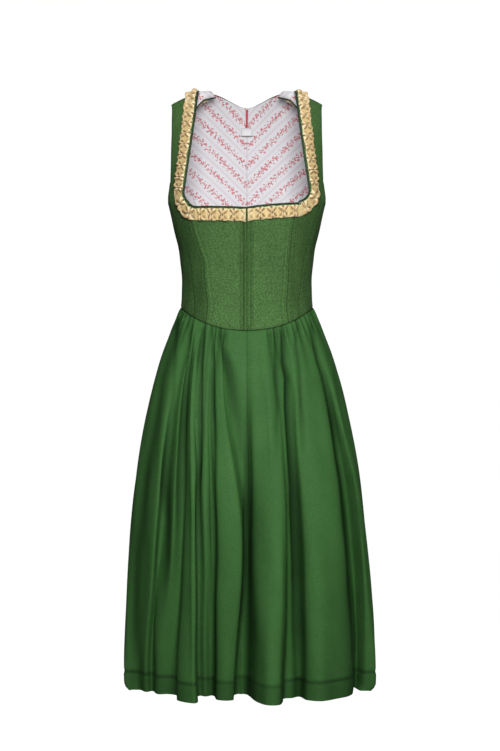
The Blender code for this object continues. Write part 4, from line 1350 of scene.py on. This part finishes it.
def stitch_run(starts, stops, faces, radius):
    """Vertices and quads of short rounded stitches, each from a start to a stop."""
    side = stops - starts
    side /= np.linalg.norm(side, axis=1, keepdims=True)
    cross = np.cross(faces, side)
    verts, quads = [], []
    turns = [(math.cos(t), math.sin(t)) for t in np.arange(6) * math.pi / 3]
    for end, shift, swell in ((starts, 0.0, 0.45), (starts, 0.16, 1.0),
                              (stops, -0.16, 1.0), (stops, 0.0, 0.45)):
        centre = end + (stops - starts) * shift + faces * radius * (0.5 if swell < 1 else 1.0) * 0.8
        for cosine, sine in turns:
            verts.append(centre + (cross * cosine + faces * sine) * radius * swell)
    verts = np.stack(verts, axis=1)
    for k in range(3):
        for t in range(6):
            quads.append((k * 6 + t, k * 6 + (t + 1) % 6, (k + 1) * 6 + (t + 1) % 6, (k + 1) * 6 + t))
    offset = np.arange(len(starts))[:, None, None] * 24
    body = (np.array(quads)[None] + offset).reshape(-1, 4).tolist()
    caps = []
    for n in range(len(starts)):
        caps.append([n * 24 + t for t in reversed(range(6))])
        caps.append([n * 24 + 18 + t for t in range(6)])
    return verts.reshape(-1, 3), body + caps


def stitch_piece(name, starts, stops, faces, radius, material, mirror=False):
    verts, polygons = stitch_run(starts, stops, faces, radius)
    if mirror:
        verts = verts * np.array([-1.0, 1.0, 1.0])
        polygons = [polygon[::-1] for polygon in polygons]
    mesh = bpy.data.meshes.new(name)
    mesh.from_pydata(verts, [], polygons)
    mesh.materials.append(bpy.data.materials[material])
    mesh.shade_smooth()
    item = bpy.data.objects.new(name, mesh)
    bpy.context.scene.collection.objects.link(item)
    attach(item, BODY)
    return item


def stitches_along(points, faces, length, pitch):
    """Starts, stops and faces of stitches evenly along a line."""
    run = np.concatenate([[0], np.cumsum(np.linalg.norm(np.diff(points, axis=0), axis=1))])
    places = np.arange(pitch / 2, run[-1] - length, pitch)

    def at(where, values):
        return np.stack([np.interp(where, run, values[:, i]) for i in range(3)], axis=1)

    facing = at(places, faces)
    facing = facing / np.linalg.norm(facing, axis=1, keepdims=True)
    return at(places, points), at(places + length, points), facing


def build_hem_stitches(name, piece, sizes):
    """The hem's row of stitches, just sunk in the cloth."""
    row = int(np.argmin(np.abs(piece[:, len(piece[0]) // 2, 2] - HEM_Z - sizes.hem_turn)))
    line = piece[row]
    face = np.cross(np.gradient(line, axis=0), piece[row + 1] - piece[row - 1])
    face /= np.linalg.norm(face, axis=1, keepdims=True)
    starts, stops, facing = stitches_along(line - face * 0.0001, face, sizes.stitch_length,
                                           sizes.stitch_length * 1.6)
    stitch_piece(f"hem_stitches_{name}", starts, stops, facing, HEM_THREAD, "green_thread")


def build_placket_stitches(side, mirror, sizes):
    """The zip's two rows of stitches, either side of the centre front."""
    z = np.linspace(-0.438, -0.262, 120)
    angle = angle_at(z * 0 + PLACKET_HALF, z)
    height = height_of(z * 0 + PLACKET_HALF, z)
    points = cloth(angle, height, z * 0 - 0.0002)
    starts, stops, facing = stitches_along(points, normal(angle, height), sizes.stitch_length,
                                           sizes.stitch_length * 1.5)
    stitch_piece(f"placket_stitches_{side}", starts, stops, facing, PLACKET_THREAD, "green_thread",
                 mirror)


# ---------------------------------------------------------------------------
# Label, zip and strap ends
# ---------------------------------------------------------------------------


def inside_patch(x, z, inward):
    """Points on the inner side of the back, in rows from the foot up."""
    angle = 180.0 - np.sign(x) * (180.0 - angle_at(x, z, True))
    return cloth(angle, height_of(x, z), -inward + x * 0), angle


def build_label_piece():
    xs = np.linspace(-LABEL_HALF_WIDTH, LABEL_HALF_WIDTH, 25)
    zs = np.linspace(LABEL_TOP_Z - LABEL_HEIGHT, LABEL_TOP_Z, 17)
    x, z = np.meshgrid(xs, zs)
    inward = BODICE_WALL + LINING_WALL + 5.5 * GAP + 0.0014
    lift = 0.0012 * bump(x, 0, 0.008) * bump(z, LABEL_TOP_Z - LABEL_HEIGHT, 0.006)
    points, _ = inside_patch(x, z, inward + lift)
    points = points[:, ::-1]
    rim = np.minimum.reduce([x - xs[0], xs[-1] - x, z - zs[0], zs[-1] - z])
    # Painted shade round the label's rim, and a painted shadow under its lower edge
    dark = np.clip(0.45 * bump(rim, 0.0006, 0.0008) + 0.9 * bump(z, zs[0], 0.0016), 0, 1)
    item = shell("neck_label_tape", points, 0.0004, ("label_tape_cloth",), panel_uv(points),
                 shade={"crease": dark})
    settle(item, ["neck_label"], cut_of(points))


def build_tacking():
    """The red zigzag that holds the lining at the centre back."""
    count = 9
    zs = np.linspace(-0.0205, -0.0535, 2 * count + 1)
    turns = np.where(np.arange(2 * count + 1) % 2, 1.0, -1.0)
    xs = 0.0033 * turns * np.linspace(1.0, 0.75, 2 * count + 1)
    points, angle = inside_patch(xs, zs, BODICE_WALL + LINING_WALL + 4.5 * GAP)
    facing = -normal(angle, height_of(xs, zs))
    stitch_piece("centre_back_tacking", points[:-1], points[1:], facing[:-1], TACKING_THREAD,
                 "red_thread")


def build_zip_pieces():
    zs = np.linspace(ZIP_FOOT_Z, ZIP_TOP_Z, 60)
    x, z = np.meshgrid(np.linspace(-ZIP_HALF_WIDTH, ZIP_HALF_WIDTH, 25), zs)
    angle = np.sign(x) * angle_at(x, z)
    rib = 0.0003 * np.cos(x / ZIP_HALF_WIDTH * 6 * math.pi)
    points = cloth(angle, height_of(x, z), -BODICE_WALL - 4 * GAP - 0.0003 + rib)
    item = shell("front_zip_tape", points, LINING_WALL * 0.7, ("zip_tape_cloth",), panel_uv(points))
    settle(item, ["front_zip"], cut_of(points))
    teeth = np.linspace(ZIP_FOOT_Z + 0.004, ZIP_TOP_Z - 0.004, 130)
    spread = np.where(np.arange(130) % 2, 1.0, -1.0) * 0.0014
    facing = -normal(teeth * 0, height_of(teeth * 0, teeth))
    base = cloth(teeth * 0, height_of(teeth * 0, teeth), teeth * 0 - BODICE_WALL - 5 * GAP - LINING_WALL)
    sideways = np.array([1.0, 0.0, 0.0])
    starts, stops = base - sideways * 0.0016 + sideways * spread[:, None] * 0.3, base + sideways * 0.0016
    stitch_piece("front_zip_coil", starts, stops + sideways * spread[:, None] * 0.3, facing, 0.0005,
                 "zip_coil")


def build_strap_end(side, mirror):
    """The strap's rear end, rolled in over the shoulder with its lining to the front."""
    top, foot = np.array(TURN_TOP), np.array(TURN_FOOT)
    share = np.linspace(0, 1, 40)
    own = np.linspace(0, 1, len(top))
    upper = np.stack([smooth(own, top[:, i], share) for i in range(3)], axis=1)
    lower = np.stack([smooth(own, foot[:, i], share) for i in range(3)], axis=1)
    rows = []
    for k in np.linspace(0, 1, 22):
        bulge = np.array([0.0, -0.0035, 0.0]) * math.sin(math.pi * k)
        rows.append(lower + (upper - lower) * k + bulge * np.sin(math.pi * share)[:, None] ** 0.5)
    points = np.stack(rows)
    rim = run_lengths(points, 0)
    uv = panel_uv(points)
    # A thin line of painted shade 3 mm from the strap end's lower edge
    item = shell(f"strap_turn_{side}_cloth", points, LINING_WALL * 0.8, ("sprig_lining",), uv,
                 mirror, flip=True, shade={"crease": 0.10 * bump(rim, 0.003, 0.001)})
    settle(item, [f"strap_turn_{side}"], cut_of(points))
    drop = np.array([0.0, 0.0, -PIPING_RADIUS - 3 * GAP])
    item = cord_piece(f"turn_piping_{side}_cord", lower + drop, PIPING_RADIUS, "piping_cord_cloth",
                      mirror)
    settle(item, [f"turn_piping_{side}"])
    path = lower[5:26] + np.array([0.0, 0.0035, -0.0055])
    across = np.linspace(0, 1, 9)
    along = np.linspace(0, 1.5, len(path))
    u, v = np.meshgrid((along % 1.0) - 0.5, across * 2 - 1)
    rise, hollow, mouth, crease = ruche(u, v)
    points = path[None] + across[:, None, None] * np.array([0.0, 0.0, 0.0075])
    points = points - rise[..., None] * np.array([0.0, 0.6, 0.0])
    # The ribbon's painted shade: in its hollows, in the mouths of its folds and in its creases
    item = shell(f"turn_ruching_{side}", points, 0.0006, ("gold_ribbon",), panel_uv(points), mirror,
                 flip=True, shade={"hollow": hollow, "mouth": mouth, "crease": crease})
    settle(item, [f"turn_trim_{side}"], cut_of(points))


# ---------------------------------------------------------------------------
# Studio
# ---------------------------------------------------------------------------

FLOOR_Z = -1.42
CAMERA_DISTANCE = 3.4
CAMERA_X = 0.006
CAMERA_Z = -0.535
LENS = 86.0


def build_stage():
    """A pale floor and a round wall, with a glow that lights nothing but themselves."""
    reach, curve, rise = 7.0, 1.5, 7.0
    turn = np.linspace(0, math.pi / 2, 14)
    run = np.concatenate([[0.0, 2.0], reach - curve + curve * np.sin(turn), [reach, 0.0]])
    lift = np.concatenate([[0.0, 0.0], curve - curve * np.cos(turn), [rise, rise]]) + FLOOR_Z
    around = np.linspace(0, 2 * math.pi, 65)
    points = np.stack([np.stack([run * math.cos(t), run * math.sin(t), lift], axis=1) for t in around])
    mesh = grid_mesh("studio_cove", points, points[..., :2])
    mesh.materials.append(bpy.data.materials["studio_white"])
    mesh.shade_smooth()
    item = bpy.data.objects.new("studio_cove", mesh)
    bpy.context.scene.collection.objects.link(item)
    lit = bpy.data.collections.new("lit_by_cove")
    lit.objects.link(item)
    item.light_linking.receiver_collection = lit


def aim(item, target):
    gap = [t - p for t, p in zip(target, item.location)]
    flat = math.hypot(gap[0], gap[1])
    item.rotation_euler = (math.pi / 2 + math.atan2(gap[2], flat), 0.0, math.atan2(-gap[0], gap[1]))


def add_light(name, place, target, size, power):
    light = bpy.data.lights.new(name, "AREA")
    light.shape = "RECTANGLE"
    light.size, light.size_y = size
    light.energy = power
    item = bpy.data.objects.new(name, light)
    item.location = place
    item.visible_camera = False
    aim(item, target)
    bpy.context.scene.collection.objects.link(item)


def add_studio_light(studio):
    middle = (0.0, 0.0, -0.55)
    add_light("front_softbox", (0.08, -2.3, 0.30), middle, (0.9, 0.9), studio.key_power)
    add_light("right_fill", (2.4, -2.6, 0.2), middle, (1.6, 2.2), studio.fill_power)
    add_light("top_softbox", (0.0, -0.6, 2.0), middle, (2.4, 2.0), studio.top_power)
    add_light("back_softbox", (0.3, 2.6, 0.5), middle, (1.4, 1.4), studio.back_power)
    world = bpy.data.worlds.new("studio_air")
    world.use_nodes = True
    sky = world.node_tree.nodes["Background"]
    sky.inputs["Color"].default_value = (1.0, 1.0, 1.0, 1.0)
    sky.inputs["Strength"].default_value = studio.air
    scene = bpy.context.scene
    scene.world = world
    scene.view_settings.view_transform = "Standard"
    scene.view_settings.look = "None"


def add_camera():
    camera = bpy.data.cameras.new("front_view")
    camera.lens = LENS
    camera.sensor_width = 36.0
    item = bpy.data.objects.new("front_view", camera)
    item.location = (CAMERA_X, -CAMERA_DISTANCE, CAMERA_Z)
    item.rotation_euler = (math.pi / 2, 0.0, 0.0)
    bpy.context.scene.collection.objects.link(item)
    bpy.context.scene.camera = item


# ---------------------------------------------------------------------------
# What a user changes
# ---------------------------------------------------------------------------


def colour_property(name, description, default):
    return FloatVectorProperty(name=name, description=description, subtype="COLOR", size=3, min=0, max=1,
                               default=default)


def length_property(name, description, default):
    return FloatProperty(name=name, description=description, default=default, min=0, unit="LENGTH",
                         precision=5)


def power_property(name, description, default):
    return FloatProperty(name=name, description=description, default=default, unit="POWER")


class DirndlSizes(bpy.types.PropertyGroup):
    """Sizes of the sewn details, in metres"""

    seam_depth: length_property("Seam depth", "How far the cloth dips at a seam", 0.0011)
    boning_rise: length_property(
        "Boning rise", "How far the boning beside the front seams stands out", 0.0009
    )
    boning_inset: length_property(
        "Boning inset", "From the front seam to the middle of its boning", 0.0072
    )
    gather_depth: length_property(
        "Gather depth", "Depth of the deeper gathers under the waist seam", 0.0032
    )
    # How much shade is painted into the skirt's deep folds
    fold_shade: bpy.props.FloatProperty(name="Fold shade", description="How dark the deep folds are",
                                        default=0.80, min=0.0, max=1.0)
    hem_turn: length_property("Hem turn-up", "From the hem's fold to its stitches", 0.036)
    stitch_length: length_property("Stitch length", "One stitch of the hem and the placket", 0.0028)
    pleat_length: length_property("Pleat length", "One pinched pleat of the ribbon", 0.0215)


class DirndlColours(bpy.types.PropertyGroup):
    """Colours of the cloths, ribbon and thread"""

    bodice: colour_property("Bodice", "Cloth of the bodice", (0.084, 0.184, 0.055))
    skirt: colour_property("Skirt", "Cloth of the skirt", (0.060, 0.176, 0.047))
    lining: colour_property("Lining", "Ground of the printed lining", (0.82, 0.82, 0.85))
    sprig: colour_property("Sprigs", "Red of the printed sprigs", (0.62, 0.075, 0.105))
    woven: colour_property("Woven lines", "Lines between the sprig stripes", (0.62, 0.50, 0.56))
    ribbon: colour_property("Ribbon", "Light side of the ruched ribbon", (1.0, 0.84, 0.50))
    # Painted shade of the ribbon: darker in the hollows between its pleats, orange in the mouths of its
    # folds
    ribbon_hollow_shade: colour_property(
        "Ribbon hollows", "Ribbon down between its pleats", (0.82, 0.57, 0.22)
    )
    ribbon_mouth_shade: colour_property("Ribbon mouths", "Ribbon inside its folds", (0.80, 0.32, 0.03))
    piping: colour_property("Piping", "Cord round the neck", (0.010, 0.040, 0.014))


class DirndlStudio(bpy.types.PropertyGroup):
    """Strength of the studio's lights"""

    key_power: power_property("Front softbox", "Power of the front light", 52.0)
    fill_power: power_property("Fill", "Power of the fill light", 3.0)
    back_power: power_property("Back softbox", "Power of the light behind", 26.0)
    top_power: power_property("Top softbox", "Power of the top light", 5.0)
    air: FloatProperty(name="Air", description="Light from all round", default=0.10, min=0.0)


class DIRNDL_OT_finishes(bpy.types.Operator):
    """Makes the cloths, ribbon, thread and studio finishes"""

    bl_idname = "dirndl.finishes"
    bl_label = "Make finishes"

    def execute(self, context):
        colours = context.scene.dirndl_colours
        make_green_cloth("bodice_twill", tuple(colours.bodice), 0.0016, 1.0, 0.85, 0.04)
        make_green_cloth("skirt_cotton", tuple(colours.skirt), 0.0013, 0.3, 0.62, 0.0)
        make_lining_print("sprig_lining", tuple(colours.lining), tuple(colours.sprig),
                          tuple(colours.woven))
        make_gold_ribbon("gold_ribbon", tuple(colours.ribbon), tuple(colours.ribbon_hollow_shade),
                         tuple(colours.ribbon_mouth_shade))
        make_plain("piping_cord_cloth", tuple(colours.piping), 0.6, 700.0, 0.0003)
        make_plain("label_tape_cloth", (0.86, 0.87, 0.90), 0.6, 900.0)
        make_plain("zip_tape_cloth", (0.020, 0.050, 0.022), 0.75, 900.0)
        make_plain("zip_coil", (0.03, 0.06, 0.03), 0.35, 400.0, 0.00005, 0.0)
        make_plain("green_thread", (0.030, 0.075, 0.026), 0.5, 1500.0)
        make_plain("red_thread", (0.62, 0.012, 0.030), 0.45, 1500.0)
        make_studio("studio_white", (0.03, 0.03, 0.03), 0.98)
        return {"FINISHED"}


class DIRNDL_OT_stage(bpy.types.Operator):
    """Sets the floor, the lights and the camera"""

    bl_idname = "dirndl.stage"
    bl_label = "Set the stage"

    def execute(self, context):
        build_stage()
        add_studio_light(context.scene.dirndl_studio)
        add_camera()
        return {"FINISHED"}


class DIRNDL_OT_bodice(bpy.types.Operator):
    """Builds the bodice's ten panels and the back's lining"""

    bl_idname = "dirndl.bodice"
    bl_label = "Build bodice"

    def execute(self, context):
        for side, mirror in (("left", False), ("right", True)):
            build_bodice_half(side, mirror, context.scene.dirndl_sizes)
            build_placket_stitches(side, mirror, context.scene.dirndl_sizes)
        return {"FINISHED"}


class DIRNDL_OT_neck(bpy.types.Operator):
    """Builds the piping and the ruched ribbon round the neck, and the strap ends"""

    bl_idname = "dirndl.neck"
    bl_label = "Build neck finishes"

    def execute(self, context):
        for side, mirror in (("left", False), ("right", True)):
            build_neck_finishes(side, mirror, context.scene.dirndl_sizes)
            build_strap_end(side, mirror)
        return {"FINISHED"}


class DIRNDL_OT_skirt(bpy.types.Operator):
    """Builds the skirt's four pieces, with their folds, gathers and hem stitches"""

    bl_idname = "dirndl.skirt"
    bl_label = "Build skirt"

    def execute(self, context):
        build_skirt_pieces(context.scene.dirndl_sizes)
        return {"FINISHED"}


class DIRNDL_OT_notions(bpy.types.Operator):
    """Builds the label, the zip and the tacking at the centre back"""

    bl_idname = "dirndl.notions"
    bl_label = "Build label and zip"

    def execute(self, context):
        build_label_piece()
        build_tacking()
        build_zip_pieces()
        return {"FINISHED"}


STEPS = ("finishes", "stage", "skirt", "bodice", "neck", "notions")


class DIRNDL_PT_panel(bpy.types.Panel):
    bl_idname = "DIRNDL_PT_panel"
    bl_label = "Dirndl dress"
    bl_space_type = "VIEW_3D"
    bl_region_type = "UI"
    bl_category = "Dirndl"

    def draw(self, context):
        for kind in GROUPS:
            group = getattr(context.scene, kind)
            box = self.layout.box()
            for key in group.bl_rna.properties.keys():
                if key not in ("rna_type", "name"):
                    box.prop(group, key)
        for step in STEPS:
            self.layout.operator(f"dirndl.{step}")


GROUPS = {"dirndl_sizes": DirndlSizes, "dirndl_colours": DirndlColours, "dirndl_studio": DirndlStudio}
OPERATORS = (DIRNDL_OT_finishes, DIRNDL_OT_stage, DIRNDL_OT_bodice, DIRNDL_OT_neck, DIRNDL_OT_skirt,
             DIRNDL_OT_notions)


def register():
    for item in (*GROUPS.values(), *OPERATORS, DIRNDL_PT_panel):
        bpy.utils.register_class(item)
    for key, group in GROUPS.items():
        setattr(bpy.types.Scene, key, PointerProperty(type=group))


def unregister():
    for key in GROUPS:
        delattr(bpy.types.Scene, key)
    for item in (DIRNDL_PT_panel, *reversed(OPERATORS), *GROUPS.values()):
        bpy.utils.unregister_class(item)


def main():
    register()
    for step in STEPS:
        getattr(bpy.ops.dirndl, step)()


if __name__ == "__main__":
    main()
